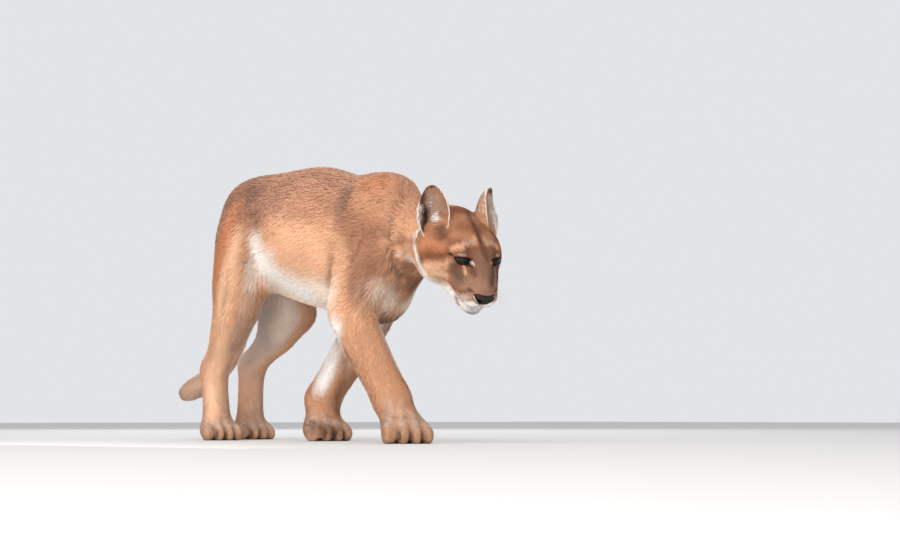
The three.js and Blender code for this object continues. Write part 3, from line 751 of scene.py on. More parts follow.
# Marks, some of them painted shade and painted highlights: a colour, a path in pixels, its reach and its soft
# edge in millimetres, how much it covers and its mirror
bodyMarks = [
    # these two: the shoulder's own brown coat, darkened further as painted shade behind the shoulder and towards
    # the neck crease
    ("shoulder", [(350, 222), (356, 240), (360, 268), (360, 290)], 12, 44, 0.8, "body"),
    ("shoulder", [(368, 224), (376, 246), (376, 266)], 12, 42, 0.9, "body"),
    ("tawny", [(362, 186), (372, 196), (380, 212)], 14, 34, 0.75, "body"),
    ("rust", [(384, 180), (372, 178)], 10, 34, 0.7, "body"),
    # painted shade behind the shoulder blade, along its crease
    ("grizzle", [(350, 190), (345, 206), (343, 222)], 5, 26, 0.5, "body"),
    # painted shade along the fold behind the shoulder
    ("shoulder", [(332, 240), (334, 262), (330, 286)], 4, 22, 0.5, "body"),
    # painted highlight: the ribs laid lighter where the light falls on them
    ("rib", [(290, 238), (306, 240), (322, 246)], 22, 46, 0.9, "body"),
    ("rib", [(276, 226), (282, 216)], 8, 40, 0.6, "body"),
    ("rib", [(270, 252), (284, 262), (304, 266), (320, 270)], 8, 34, 0.8, "body"),
    ("cream", [(267, 266), (278, 278), (292, 287), (310, 294), (330, 297)], 24, 34, 1.0, "body"),
    (
        "white", [(257.5, 240), (261, 252), (267, 264), (278, 276), (292, 286), (312, 293)],
        6, 28, 0.85, "body",
    ),
    # painted shade in the neck crease and on the chest beneath the neck
    ("shoulder", [(396, 286), (402, 292), (400, 304)], 5, 24, 0.6, "body"),
    ("shoulder", [(402, 244), (408, 262), (414, 280), (420, 292)], 5, 26, 0.8, "body"),
    ("smudge", [(411, 276), (417, 290)], 2, 18, 0.35, "body"),
    ("cream", [(380, 288), (388, 292), (391, 302)], 9, 24, 0.9, "body"),
    # painted shade in the crease between the chest and the near foreleg
    ("grizzle", [(384, 314), (390, 322)], 6, 24, 0.7, "body"),
    ("white", [(412, 240), (411, 248)], 1, 6, 0.8, None),
    # painted shade along the crease at the thigh's front edge
    ("grizzle", [(253, 188), (257, 204), (258, 220)], 5, 26, 0.6, "body"),
    # the near thigh's pale coat, laid lighter still as painted light where the front light falls on it
    ("thigh", [(238, 236), (232, 262), (226, 292), (222, 318)], 8, 34, 0.9, None),
    ("thigh", [(221, 340), (216, 362), (211, 392), (210, 415)], 6, 22, 0.9, None),
    ("rust", [(236, 212), (228, 236), (219, 262), (212, 290)], 8, 30, 0.9, None),
    ("grey", [(250, 262), (249, 292), (243, 318), (235, 345)], 5, 22, 0.6, None),
    ("greyCream", [(252, 262), (252, 285)], 2, 14, 0.6, None),
    ("cream", [(276, 286), (284, 306), (276, 330)], 10, 26, 0.7, None),
    ("white", [(337, 322), (334, 345), (329, 364), (321, 382)], 12, 20, 1.0, None),
    # painted shade on the far foreleg's edge
    ("shoulder", [(347, 352), (343, 372), (338, 395), (336, 410)], 4, 14, 0.8, None),
    ("smudge", [(312, 424), (322, 428), (336, 430)], 6, 18, 0.6, None),
]
faceMarks = [
    ("bridge", [(483, 262), (486, 276), (486, 290)], 8, 18, 0.8, "head"),
    ("muzzle", [(462, 280), (470, 286), (480, 290)], 10, 18, 0.8, "head"),
    ("faceRust", [(454, 212), (464, 209), (474, 214)], 4, 24, 0.9, "head"),
    ("faceRust", [(451, 254), (441, 257.5), (431, 258), (420, 258.5)], 2, 12, 0.9, "head"),
    ("rust", [(443, 247), (436, 246), (428, 243), (420, 248)], 2, 15, 0.6, "head"),
    ("rib", [(452, 264), (440, 266), (428, 266)], 1, 13, 0.75, "head"),
    ("buff", [(446, 276), (436, 273), (426, 270)], 2, 14, 0.6, "head"),
    ("tawny", [(455, 236), (464, 236), (472, 240)], 2, 16, 0.4, "head"),
    ("rib", [(474.5, 239), (475.5, 245)], 0.5, 8, 0.6, "head"),
    ("rib", [(453.5, 250), (458, 248.2), (463, 248)], 0.5, 9, 0.75, "head"),
    ("greyCream", [(466, 245), (470, 244)], 1, 8, 0.35, "head"),
    ("smudge", [(467.5, 250.5), (468.5, 254.5)], 0.5, 8, 0.8, "head"),
    ("greyCream", [(459, 254.8), (466, 255.4)], 0.3, 3, 0.4, "head"),
    ("smudge", [(468, 212), (473, 224), (478.5, 235), (482, 245), (486, 258)], 1.0, 10, 0.75, None),
    ("brown", [(469, 214), (473, 224), (478, 235), (481.5, 245)], 0.3, 3.6, 0.7, None),
    ("smudge", [(441, 229), (443, 236)], 2, 15, 0.7, "head"),
    ("smudge", [(455, 268), (458, 274), (461, 278)], 3, 14, 0.8, "head"),
    ("smudge", [(452, 262), (455, 266)], 0.5, 6, 0.5, "head"),
    ("brown", [(472.5, 271), (474.5, 276)], 0.5, 9, 0.6, "head"),
    ("rib", [(464.6, 267.4), (465.6, 271), (466.4, 275)], 0.3, 3.4, 0.8, "head"),
    # painted shade along the far side of the face and the nose bridge
    ("smudge", [(493, 266), (493.5, 276), (492, 286)], 1, 12, 0.8, None),
    ("cream", [(472.2, 261.0), (473.8, 265.4)], 0.5, 2.6, 1.0, "head"),
    ("black", [(455.4, 258.4), (452.6, 256.6), (449.9, 254.9)], 0.8, 2.4, 0.95, "head"),
    ("black", [(470.6, 264.4), (472.6, 268.0)], 0.5, 2.2, 0.9, "head"),
    ("white", [(461, 303.4), (468, 304.6), (478, 305)], 3.5, 8, 1.0, "head"),
    # painted shade: the chin's underside laid grey
    ("chin", [(462, 312), (470, 315), (478, 313)], 4, 9, 0.9, "head"),
    ("greyCream", [(461, 297.6), (468, 298)], 1, 8, 0.7, "head"),
    ("smudge", [(457.0, 297.0), (459, 303.0)], 1.0, 6, 0.8, "head"),
    ("brown", [(470.5, 290.4), (473.2, 291.4)], 0.4, 4.2, 0.8, "head"),
    ("brown", [(457.5, 293.5), (463, 292.4), (469, 291)], 0.2, 3.4, 0.5, "head"),
    ("smudge", [(457.5, 284), (460, 286)], 0.3, 5, 0.4, "head"),
    ("white", [(416, 250), (417, 258), (422, 269), (430, 280), (440, 289)], 2, 10, 0.75, "head"),
]
earMarks = [
    ("grey", [(431, 198), (436, 208), (439, 219)], 5, 16, 0.7, "head"),
    ("mauve", [(421.5, 194), (423.5, 205), (426, 214), (427, 223)], 3, 10, 0.95, None),
    ("dark", [(424.5, 212), (426, 221), (423, 230)], 1, 9, 0.9, None),
    ("greyCream", [(489.5, 198), (491.5, 206), (494, 216), (495, 224)], 2, 10, 0.8, None),
    ("white", [(416, 232), (414, 248)], 3, 8, 0.95, "head"),
    ("rib", [(440, 221), (447, 222)], 1, 8, 0.5, "head"),
]


# Heights over the floor where a colour begins and where it is whole, in metres
heights = {
    "flank": (0.36, 0.48),
    "back": (0.42, 0.54),
    "rump": (0.34, 0.42),
    "rear": (0.2, 0.3),
    "foreInside": (0.12, 0.20),
    "hindInside": (0.10, 0.24),
    "thighInside": (0.28, 0.38),
    "foreRear": (0.08, 0.14),
    "foreRearEnd": (0.24, 0.34),
    "shin": (0.34, 0.44),
    "paw": (0.05, 0.11),
}


def bodyColour(lay):
    x, y, z = points.T

    def above(name, level=z):
        return smoothStep(*heights[name], level)

    trunk = share("torso", "neck", rounds=8)
    haunch = share("thigh", rounds=8)
    fore = share("foreleg", rounds=8)
    low = share("shank", "hindfoot", rounds=8)
    limb = np.clip(haunch + low, 0, 1)
    whole = np.clip(trunk + haunch, 0, 1)
    behind = smoothStep(-0.08, -0.16, x)
    lay("rib", (1 - above("flank", z + patches * 0.006)) * trunk * (1 - behind) * 0.7)
    lay("back", above("back", z + patches * 0.01) * whole * 0.85)
    lay("shoulder", behind * above("rump") * whole * 0.55)
    lay("rust", smoothStep(0.35, 0.8, -normals[:, 0]) * above("rear") * whole * 0.8)
    lay("grizzle", smoothStep(0.2, 1.8, patches) * above("back") * (trunk + haunch) * 0.35)
    lay("leg", np.clip(fore + low, 0, 1) * 0.85)
    lay("thigh", low * 0.5)
    keel = paintedShare(x, 0.02, 0.17)
    lay("cream", smoothStep(0.2, 0.75, -normals[:, 2]) * trunk * np.clip(keel * 1.3, 0, 1))
    lay("buff", share("neck", rounds=10) * smoothStep(0.2, 0.8, -normals[:, 2]) * 0.6)
    rear = smoothStep(0.35, 0.85, -normals[:, 0])
    ahead = smoothStep(0.3, 0.9, normals[:, 0])
    for side, word in ((-1, "right"), (1, "left")):
        mine = np.array([word in name for name in fleshNames]).astype(float)[owner][:, None]
        mine = relax(mine, edges, 0.6, 4)[:, 0]
        inward = smoothStep(0.2, 0.75, -normals[:, 1] * side)
        lay("cream", inward * mine * fore * above("foreInside") * 0.8)
        lay("greyCream", inward * mine * limb * above("hindInside") * 0.95)
        lay("cream", inward * mine * haunch * above("thighInside") * 0.8)
        lay("white", rear * mine * fore * (1 - above("foreRearEnd")) * above("foreRear") * 0.7)
        lay("grey", ahead * mine * limb * (1 - above("shin")) * 0.3)
    lay("paw", pawShare * (1 - above("paw")) * 0.7)
    lay("greyCream", np.clip(toeTop * 1.3, 0, 1) * (0.45 + 0.12 * wander))
    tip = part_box("tail_tip")[0][0]
    lay("buff", tailShare)
    lay("grey", tailShare * (1 - smoothStep(tip + 0.04, tip + 0.16, x)) * 0.5)
    lay("smudge", tailShare * (1 - smoothStep(tip, tip + 0.05, x)) * 0.5)


def headColour(lay):
    local = toHead(points)
    head = share("head", rounds=3) * (1 - earShare)
    lay("face", head)
    lay("tawny", head * smoothStep(40, -30, local[:, 0]) * 0.45)
    jaw = -44 + 0.2 * (local[:, 0] - 19)
    level = local[:, 2] - jaw + wander * 2
    lay("rib", head * (1 - smoothStep(4, 40, level)) * smoothStep(100, 60, local[:, 0]) * 0.6)
    lay("cream", head * (1 - smoothStep(-6, 14, level)) * smoothStep(124, 100, local[:, 0]) * 0.65)
    lay("white", head * (1 - smoothStep(-16, 2, level)))
    # painted shade: the underside at the front of the muzzle laid grey-cream
    lay("greyCream", head * smoothStep(90, 108, local[:, 0]) * (1 - smoothStep(-56, -46, local[:, 2])) * 0.7)
    lay("earBack", earShare)
    # painted light by curvature: the crowned parts of the ears laid lighter in cream
    lay("cream", earShare * smoothStep(0.2, 0.8, crown))


def layMarks(marks, lay, mask):
    step = headScale if mask is not None else 0.001
    for name, pixels, reach, soft, cover, mirror in marks:
        for side in bothSides(pixels, mirror):
            far, _ = nearPath(side, (reach + soft * 1.6) * step)
            far = far + (wander * 0.10 + speckle * 0.05) * soft * step
            amount = (1 - smoothStep(reach * step * 0.5, (reach + soft) * step, far)) * cover
            lay(name, amount if mask is None else amount * mask)


# Colours of the skin and the coat from one set of markings, with painted shade and highlights among them
def skinColour():
    colour = np.tile(paint["tawny"], (len(points), 1))

    def lay(name, amount):
        colour[:] = colour + (paint[name] - colour) * np.clip(amount, 0, 1)[:, None]

    bodyColour(lay)
    layMarks(bodyMarks, lay, None)
    headColour(lay)
    onHead = share("head", rounds=4)
    layMarks(faceMarks, lay, np.clip(onHead * 1.3, 0, 1))
    layMarks(earMarks, lay, np.clip(earShare * 1.4 + onHead * 0.4, 0, 1))
    lay("black", smoothStep(-eyeSkin["rim"] - 1.2, -eyeSkin["rim"] + 0.6, eyeGap) * 0.97)
    for path in placedFolds["mouth"]:
        far, _ = nearPath(path, 0.006)
        lay("brown", (1 - smoothStep(0.0006, 0.0026, far)) * 0.5)
    # painted shade: the creases and folds of the body laid darker in the grizzled colour
    lay("grizzle", foldShade * 0.6 * (1 - faceShare))
    # painted shade: the grooves between the toes laid darker
    lay("dark", np.clip(toeGap * 1.1, 0, 1) * 0.6)
    colour *= (1 + 0.05 * speckle + 0.04 * patches)[:, None]
    return np.clip(colour, 0, 1)


colour = skinColour()
bare = smoothStep(-2.6, -1.2, eyeGap)
nosePoints = toHead(vertexArray(nodes["nose"].data))
noseReach = np.array([nosePoints.min(0), nosePoints.max(0)])
print("skin painted; nose from", noseReach[0].round(1), "to", noseReach[1].round(1))


def colourAttribute(mesh, values, name="coat"):
    attribute = mesh.color_attributes.new(name, "FLOAT_COLOR", "POINT")
    rgba = np.ones((len(values), 4), dtype=np.float32)
    rgba[:, :3] = values
    attribute.data.foreach_set("color", rgba.ravel())


furLook = {"shine": 0.12, "relief": 0.002, "fineness": 420}


# Fine relief of short hair, as a height that changes over the surface
def hairRelief():
    tree = bpy.data.node_groups.new("hairRelief", "ShaderNodeTree")
    fineness = tree.interface.new_socket("Fineness", in_out="INPUT", socket_type="NodeSocketFloat")
    fineness.default_value = furLook["fineness"]
    tree.interface.new_socket("Height", in_out="OUTPUT", socket_type="NodeSocketFloat")
    start = tree.nodes.new("NodeGroupInput")
    end = tree.nodes.new("NodeGroupOutput")
    place = tree.nodes.new("ShaderNodeTexCoord")
    noise = tree.nodes.new("ShaderNodeTexNoise")
    noise.inputs["Detail"].default_value = 3
    tree.links.new(place.outputs["Object"], noise.inputs["Vector"])
    tree.links.new(start.outputs["Fineness"], noise.inputs["Scale"])
    tree.links.new(noise.outputs["Fac"], end.inputs["Height"])
    return tree


relief = hairRelief()


def newMaterial(name, roughness):
    material = bpy.data.materials.new(name)
    material.use_nodes = True
    shader = material.node_tree.nodes["Principled BSDF"]
    shader.inputs["Roughness"].default_value = roughness
    return material, material.node_tree, shader


# A material in the colours that a piece's points carry
def paintedMaterial(name, roughness, shine):
    material, tree, shader = newMaterial(name, roughness)
    read = tree.nodes.new("ShaderNodeAttribute")
    read.attribute_name = "coat"
    tree.links.new(read.outputs["Color"], shader.inputs["Base Color"])
    shader.inputs["Specular IOR Level"].default_value = shine
    return material, tree, shader


def furMaterial(name, roughness, strength):
    material, tree, shader = paintedMaterial(name, roughness, furLook["shine"])
    hair = tree.nodes.new("ShaderNodeGroup")
    hair.node_tree = relief
    bump = tree.nodes.new("ShaderNodeBump")
    bump.inputs["Strength"].default_value = strength
    bump.inputs["Distance"].default_value = furLook["relief"]
    tree.links.new(hair.outputs["Height"], bump.inputs["Height"])
    tree.links.new(bump.outputs["Normal"], shader.inputs["Normal"])
    return material


def wetMaterial(name, roughness, coat, shine):
    material, _, shader = paintedMaterial(name, roughness, shine)
    shader.inputs["Coat Weight"].default_value = coat
    shader.inputs["Coat Roughness"].default_value = 0.04
    return material


furSkin = furMaterial("shortFur", 0.85, 0.5)
furTuft = furMaterial("furTufts", 0.7, 0.15)

# The skin that shows has fewer faces than the one the coat grows on, but for those round the lids
shownSkin = {"keep": 0.47, "lids": 6.0}


def showSkin():
    smoothShade(mesh)
    colourAttribute(mesh, colour)
    copy = newObject("skin", mesh.copy())
    thinned = copy.vertex_groups.new(name="thinned")
    thinned.add(np.flatnonzero(eyeGap < -shownSkin["lids"]).tolist(), 1.0, "REPLACE")
    fewer = copy.modifiers.new("fewerFaces", "DECIMATE")
    fewer.ratio = shownSkin["keep"]
    fewer.vertex_group = "thinned"
    shown = applied(copy, "skin")
    thing = newObject("skin", shown, furSkin)
    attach(thing, "root")
    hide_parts(*fleshNames)
    print("skin shown:", len(triangleArray(shown)), "triangles")


showSkin()


# An unwrap of the skin's own shape, made on a coarser copy
def unwrapCopy():
    copy = newObject("unwrap", mesh.copy())
    copy.data.materials.clear()
    coarse = copy.modifiers.new("coarse", "DECIMATE")
    coarse.ratio = 0.05
    coarseMesh = applied(copy, "unwrap")
    coarseMesh.uv_layers.new(name="unwrap")
    thing = newObject("unwrap", coarseMesh)
    bpy.context.view_layer.objects.active = thing
    thing.select_set(True)
    bpy.ops.object.mode_set(mode="EDIT")
    bpy.ops.mesh.select_all(action="SELECT")
    bpy.ops.uv.smart_project(angle_limit=math.radians(66), island_margin=0.004)
    bpy.ops.object.mode_set(mode="OBJECT")
    corners = triangleArray(coarseMesh)
    loops = np.empty(len(coarseMesh.loop_triangles) * 3, dtype=np.int32)
    coarseMesh.loop_triangles.foreach_get("loops", loops)
    uv = np.empty(len(coarseMesh.loops) * 2, dtype=np.float32)
    coarseMesh.uv_layers[0].data.foreach_get("uv", uv)
    placed = vertexArray(coarseMesh)
    cornerUv = uv.reshape(-1, 2)[loops.reshape(-1, 3)]
    bpy.data.objects.remove(thing)
    return placed, corners, cornerUv


unwrapped, unwrapCorners, unwrapUv = unwrapCopy()
unwrapTree = BVHTree.FromPolygons(unwrapped.tolist(), unwrapCorners.tolist())


def rootsOnUnwrap(places):
    face = np.empty(len(places), dtype=int)
    found = np.empty((len(places), 3))
    for index, place in enumerate(places):
        where, _, number, _ = unwrapTree.find_nearest(place)
        face[index] = number
        found[index] = where
    a, b, c = (unwrapped[unwrapCorners[face, k]] for k in range(3))
    ab, ac, ap = b - a, c - a, found - a
    d00, d01, d11 = (ab * ab).sum(1), (ab * ac).sum(1), (ac * ac).sum(1)
    d20, d21 = (ap * ab).sum(1), (ap * ac).sum(1)
    whole = np.maximum(d00 * d11 - d01 * d01, 1e-18)
    second = (d11 * d20 - d01 * d21) / whole
    third = (d00 * d21 - d01 * d20) / whole
    mix = np.stack((1 - second - third, second, third), axis=1)
    return (unwrapUv[face] * mix[:, :, None]).sum(1)


# The coat: thin tufts of solid mesh that lie along the body
tuft = {
    "count": 148000,
    "body": (0.016, 0.0021),     # length and width
    "head": (0.0065, 0.0012),
    "paw": (0.007, 0.0014),
    "leg": (0.011, 0.0017),
    "tail": (0.020, 0.0022),
    "ear": (0.005, 0.0010),
    "patch": 0.003,
    "pieces": 8,
    "wander": 0.10,
    "tones": (0.92, 1.07),
    "long": (0.75, 1.25),
    "wide": (0.8, 1.2),
    "lift": (0.35, 1.0),         # height of the tip, as a share of the coat's depth
    "round": 0.35,               # how far the edges of a tuft turn sideways
    "dark": 0.22,                # share of dark hairs on the back
    "noseMargin": 1.5,
}

skinTriangles = triangleArray(mesh)


def tuftSizes():
    length = np.full(len(points), tuft["body"][0])
    width = np.full(len(points), tuft["body"][1])
    for name, value in shares.items():
        length += (tuft[name][0] - length) * value
        width += (tuft[name][1] - width) * value
    return length, width


def scatter(count, weight):
    a, b, c = (points[skinTriangles[:, k]] for k in range(3))
    area = np.linalg.norm(np.cross(b - a, c - a), axis=1) / 2
    total = np.cumsum(area * weight[skinTriangles].mean(1))
    pick = (np.arange(count) + rng.random(count)) / count * total[-1]
    face = np.minimum(np.searchsorted(total, pick), len(skinTriangles) - 1)
    u, v = rng.random((2, count))
    over = u + v > 1
    u[over], v[over] = 1 - u[over], 1 - v[over]
    mix = np.stack((1 - u - v, u, v), axis=1)
    corner = skinTriangles[face]

    def at(values):
        values = values if values.ndim == 2 else values[:, None]
        return (values[corner] * mix[:, :, None]).sum(1)

    return at


def onSkin(places):
    found = np.empty_like(places)
    facing = np.empty_like(places)
    for index, place in enumerate(places):
        where, _, face, _ = skinTree.find_nearest(place)
        found[index] = where
        facing[index] = normals[skinTriangles[face]].sum(0)
    return found, unit(facing)


tuftFaces = np.array([
    (0, 1, 2), (0, 4, 1), (0, 3, 4), (1, 5, 2), (1, 4, 5),
    (2, 3, 0), (2, 5, 3), (3, 6, 4), (4, 6, 5), (5, 6, 3),
])
tuftTone = np.array((0.9, 0.92, 0.9, 0.98, 1.0, 0.98, 1.05))
alongPatch = np.array((-0.5, -0.5, -0.5, 0.1, 0.1, 0.1, 0.5))
acrossPatch = np.array((-0.5, 0.0, 0.5, -0.45, 0.0, 0.45, 0.0))


# Tufts as arrays: seven corners each, their colours and their place on the unwrap
def growTufts(root, rootNormal, way, length, width, lift, edge):
    end, endNormal = onSkin(root + way * length[:, None])
    tip = end + endNormal * lift[:, None]
    middle = (root + end) / 2 + unit(rootNormal + endNormal) * (lift * 0.75)[:, None]
    across = np.cross(rootNormal, way) * width[:, None] / 2
    base = root - rootNormal * 0.0006
    ridge = rootNormal * (width * 0.28)[:, None]
    corners = np.stack(
        (
            base - across * 0.8, base + ridge * 0.5, base + across * 0.8,
            middle - across, middle + ridge, middle + across, tip,
        ),
        axis=1,
    )
    facing = np.stack((rootNormal,) * 3 + (unit(rootNormal + endNormal),) * 3 + (endNormal,), axis=1)
    sideways = unit(across)
    bend = np.array((-1, 0, 1, -1, 0, 1, 0.0))
    return corners, unit(facing + sideways[:, None] * bend[None, :, None] * edge)


def tuftPiece(name, corners, facing, colours, uv):
    count = len(corners)
    piece = bpy.data.meshes.new(name)
    piece.vertices.add(count * 7)
    piece.vertices.foreach_set("co", corners.astype(np.float32).ravel())
    faces = (tuftFaces[None] + (np.arange(count) * 7)[:, None, None]).reshape(-1, 3)
    piece.loops.add(faces.size)
    piece.loops.foreach_set("vertex_index", faces.ravel().astype(np.int32))
    piece.polygons.add(len(faces))
    piece.polygons.foreach_set("loop_start", np.arange(len(faces), dtype=np.int32) * 3)
    piece.update(calc_edges=True)
    smoothShade(piece)
    tones = colours[:, None, :] * tuftTone[None, :, None]
    colourAttribute(piece, tones.reshape(-1, 3))
    patch = np.stack((acrossPatch, alongPatch), axis=1) * tuft["patch"]
    spots = (uv[:, None, :] + patch[None]).reshape(-1, 2)
    layer = piece.uv_layers.new(name="OFBake")
    layer.data.foreach_set("uv", spots[faces.ravel()].astype(np.float32).ravel())
    piece.normals_split_custom_set_from_vertices(facing.reshape(-1, 3).astype(np.float32))
    thing = newObject(name, piece, furTuft)
    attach(thing, "root")


def coat():
    length, width = tuftSizes()
    local = toHead(points)
    margin = tuft["noseMargin"]
    onNose = ((local > noseReach[0] - margin) & (local < noseReach[1] + margin)).all(1).astype(float)
    keep = (1 - np.maximum(bare, onNose)) * (1 - 0.5 * earShare)
    at = scatter(tuft["count"], keep / (length * width))
    root = at(points)
    rootNormal = unit(at(normals))
    way = at(flow) + rng.normal(0, tuft["wander"], root.shape)
    way = alongSkin(way, rootNormal)
    long = at(length)[:, 0] * rng.uniform(*tuft["long"], len(root))
    wide = at(width)[:, 0] * rng.uniform(*tuft["wide"], len(root))
    lift = at(depth)[:, 0] * rng.uniform(*tuft["lift"], len(root))
    shade = rng.uniform(*tuft["tones"], (len(root), 1))
    colours = at(colour) * shade
    high = smoothStep(*heights["back"], root[:, 2]) * (1 - at(faceShare)[:, 0])
    darkHair = (rng.random(len(root)) < tuft["dark"] * high)[:, None]
    colours = np.where(darkHair, colours * 0.5 + paint["grizzle"] * 0.35, colours)
    uv = rootsOnUnwrap(root)
    corners, facing = growTufts(root, rootNormal, way, long, wide, lift, tuft["round"])
    order = np.argsort(root[:, 0])
    for number, chosen in enumerate(np.array_split(order, tuft["pieces"])):
        name = "coat_" + str(number + 1)
        tuftPiece(name, corners[chosen], facing[chosen], colours[chosen], uv[chosen])
    print("coat built:", len(root), "tufts")


coat()

# Longer pale hairs that grow from the front edge of each ear over its cup
earHair = {
    "count": 1500,
    "length": 0.017,
    "width": 0.0009,
    "lift": 0.004,
    "spread": 0.0036,        # of the roots, about their path
    "wander": 0.25,
    "white": 0.35,           # share of white hairs
    "round": 0.3,
    "cup": (424, 212),
}
earHairRoots = {
    "inner": [(439, 222), (437.5, 214), (435, 206), (431, 199)],
    "outer": [(419.5, 228), (418.8, 218), (418.8, 208)],
    "lower": [(419, 229), (416.5, 237)],
}


def earHairs():
    roots, ways, tones = [], [], []
    centre = castPixels([earHair["cup"]])[0]
    for pixels in earHairRoots.values():
        path = castPixels(pixels, 0.5)
        for side, line in ((-1, path), (1, ontoSkin(acrossHead(path)))):
            middle = centre if side < 0 else ontoSkin(acrossHead(centre))[0]
            up = fromHead([[-24, 90 * side, 90]])[0] - headOrigin
            for place in line[rng.integers(0, len(line), earHair["count"] // 6)]:
                start = place + rng.normal(0, earHair["spread"], 3)
                roots.append(start)
                ways.append(unit(middle - start) * 0.9 + unit(up) * 0.5 + rng.normal(0, earHair["wander"], 3))
                tones.append(paint["white" if rng.random() < earHair["white"] else "greyCream"])
    found, facing = onSkin(np.array(roots))
    way = alongSkin(np.array(ways), facing)
    count = len(found)
    long = earHair["length"] * rng.uniform(0.5, 1.1, count)
    wide = np.full(count, earHair["width"])
    lift = earHair["lift"] * rng.uniform(0.3, 1.0, count)
    uv = rootsOnUnwrap(found)
    corners, turned = growTufts(found, facing, way, long, wide, lift, earHair["round"])
    tuftPiece("ear_hairs", corners, turned, np.array(tones), uv)


earHairs()

# Whiskers: thin tapered tubes in rows on each side of the muzzle
whisker = {
    "rows": [(464, 292.5), (466, 295.5), (467.5, 298.5)],
    "perRow": 4,
    "step": (-2.2, 0.4),     # in pixels, back along a row
    "length": 0.055,
    "radius": 0.0002,
    "rooted": 0.002,         # length under the skin
    "sag": 0.22,             # of the tip, as a share of the length
    "joints": 9,
}


def tube(work, route, radius, sides=5):
    rings = []
    for index, place in enumerate(route):
        ahead = Vector(route[min(index + 1, len(route) - 1)]) - Vector(route[max(index - 1, 0)])
        turn = ahead.to_track_quat("Z", "Y").to_matrix()
        size = radius * (1 - 0.85 * index / (len(route) - 1))
        angles = [2 * math.pi * k / sides for k in range(sides)]
        around = [Vector((math.cos(angle) * size, math.sin(angle) * size, 0)) for angle in angles]
        rings.append([work.verts.new(Vector(place) + turn @ away) for away in around])
    for low, high in zip(rings, rings[1:]):
        for k in range(sides):
            work.faces.new((low[k], low[(k + 1) % sides], high[(k + 1) % sides], high[k]))
    work.faces.new(rings[0][::-1])
    work.faces.new(rings[-1])


def whiskers():
    work = bmesh.new()
    for row, (u, v) in enumerate(whisker["rows"]):
        for number in range(whisker["perRow"]):
            back = number * whisker["step"][0]
            start = castPixels([(u + back, v + number * whisker["step"][1])])[0]
            for side, place in ((-1, start), (1, ontoSkin(acrossHead(start))[0])):
                out = np.array((-0.25 - 0.12 * number, side * 0.9, -0.28 - 0.1 * row)) @ headAxes.T
                long = whisker["length"] * (0.75 + 0.1 * number) * rng.uniform(0.85, 1.05)
                steps = np.linspace(0, 1, whisker["joints"])
                sag = np.array((0, 0, -1.0)) * long * whisker["sag"]
                route = [place + unit(out) * (t * long - whisker["rooted"]) + sag * t * t for t in steps]
                tube(work, route, whisker["radius"])
    bmesh.ops.recalc_face_normals(work, faces=work.faces)
    hairs = meshFrom(work, "whiskers")
    smoothShade(hairs)
    material, _, shader = newMaterial("whiskerHair", 0.5)
    shader.inputs["Base Color"].default_value = (*paint["greyCream"], 1)
    thing = newObject("whiskers", hairs, material)
    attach(thing, "root")


whiskers()

# Eyes: a wet ball with a cornea, a brown iris and a round pupil that looks where the photograph shows
eyeMake = {
    "pupil": 5.4,            # radii over the ball, in the head's millimetres
    "iris": 10.5,
    "cornea": 0.9,
    "irisColour": (0.15, 0.10, 0.08),
    "rimColour": (0.05, 0.04, 0.035),
    "whiteColour": (0.12, 0.09, 0.08),
}


def eyeBall(name, side):
    work = bmesh.new()
    bmesh.ops.create_uvsphere(work, u_segments=64, v_segments=48, radius=1)
    ball = meshFrom(work, name)
    ways = unit(vertexArray(ball))
    gaze = eyeAxes(side)[0]
    turn = np.array(Vector(gaze).to_track_quat("Z", "Y").to_matrix())
    ways = ways @ turn.T
    arc = np.arccos(np.clip(ways @ gaze, -1, 1)) * headPose["eyeRadius"]
    bulge = eyeMake["cornea"] * (1 - smoothStep(0, eyeMake["iris"] * 1.25, arc))
    setVertices(ball, fromHead(eyeCentre(side) + ways * (headPose["eyeRadius"] + bulge)[:, None]))
    smoothShade(ball)
    colours = np.tile(linear(eyeMake["whiteColour"]), (len(ways), 1))

    def ring(tone, reach, soft):
        amount = (1 - smoothStep(reach - soft, reach + soft, arc))[:, None]
        colours[:] = colours + (linear(tone) - colours) * amount

    ring(eyeMake["rimColour"], eyeMake["iris"] + 0.8, 0.6)
    ring(eyeMake["irisColour"], eyeMake["iris"], 0.5)
    ring(coatColours["black"], eyeMake["pupil"], 0.35)
    colourAttribute(ball, colours)
    thing = newObject(name, ball, wetEye)
    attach(thing, "root")
    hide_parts("eye_left" if side > 0 else "eye_right")


wetEye = wetMaterial("wetEye", 0.12, 0.15, 0.2)
eyeBall("eyeball_right", -1)
eyeBall("eyeball_left", 1)

# Nose: the pad's solid with a fine mesh, evened out, with a nostril curling in on each side
nostril = {
    "path": [(474.6, 295.6), (476.5, 298.0), (478.6, 300.2), (480.4, 301.6)],
    "width": 1.7,
    "depth": 3.0,
}
leather = {
    "bottom": 6.0,           # half the bare width at the pad's lower edge, and at its upper edge
    "top": 21.0,
    "levels": (-27.0, -5.0),
    "dark": (0.10, 0.08, 0.08),
    "pale": (0.20, 0.15, 0.14),
}


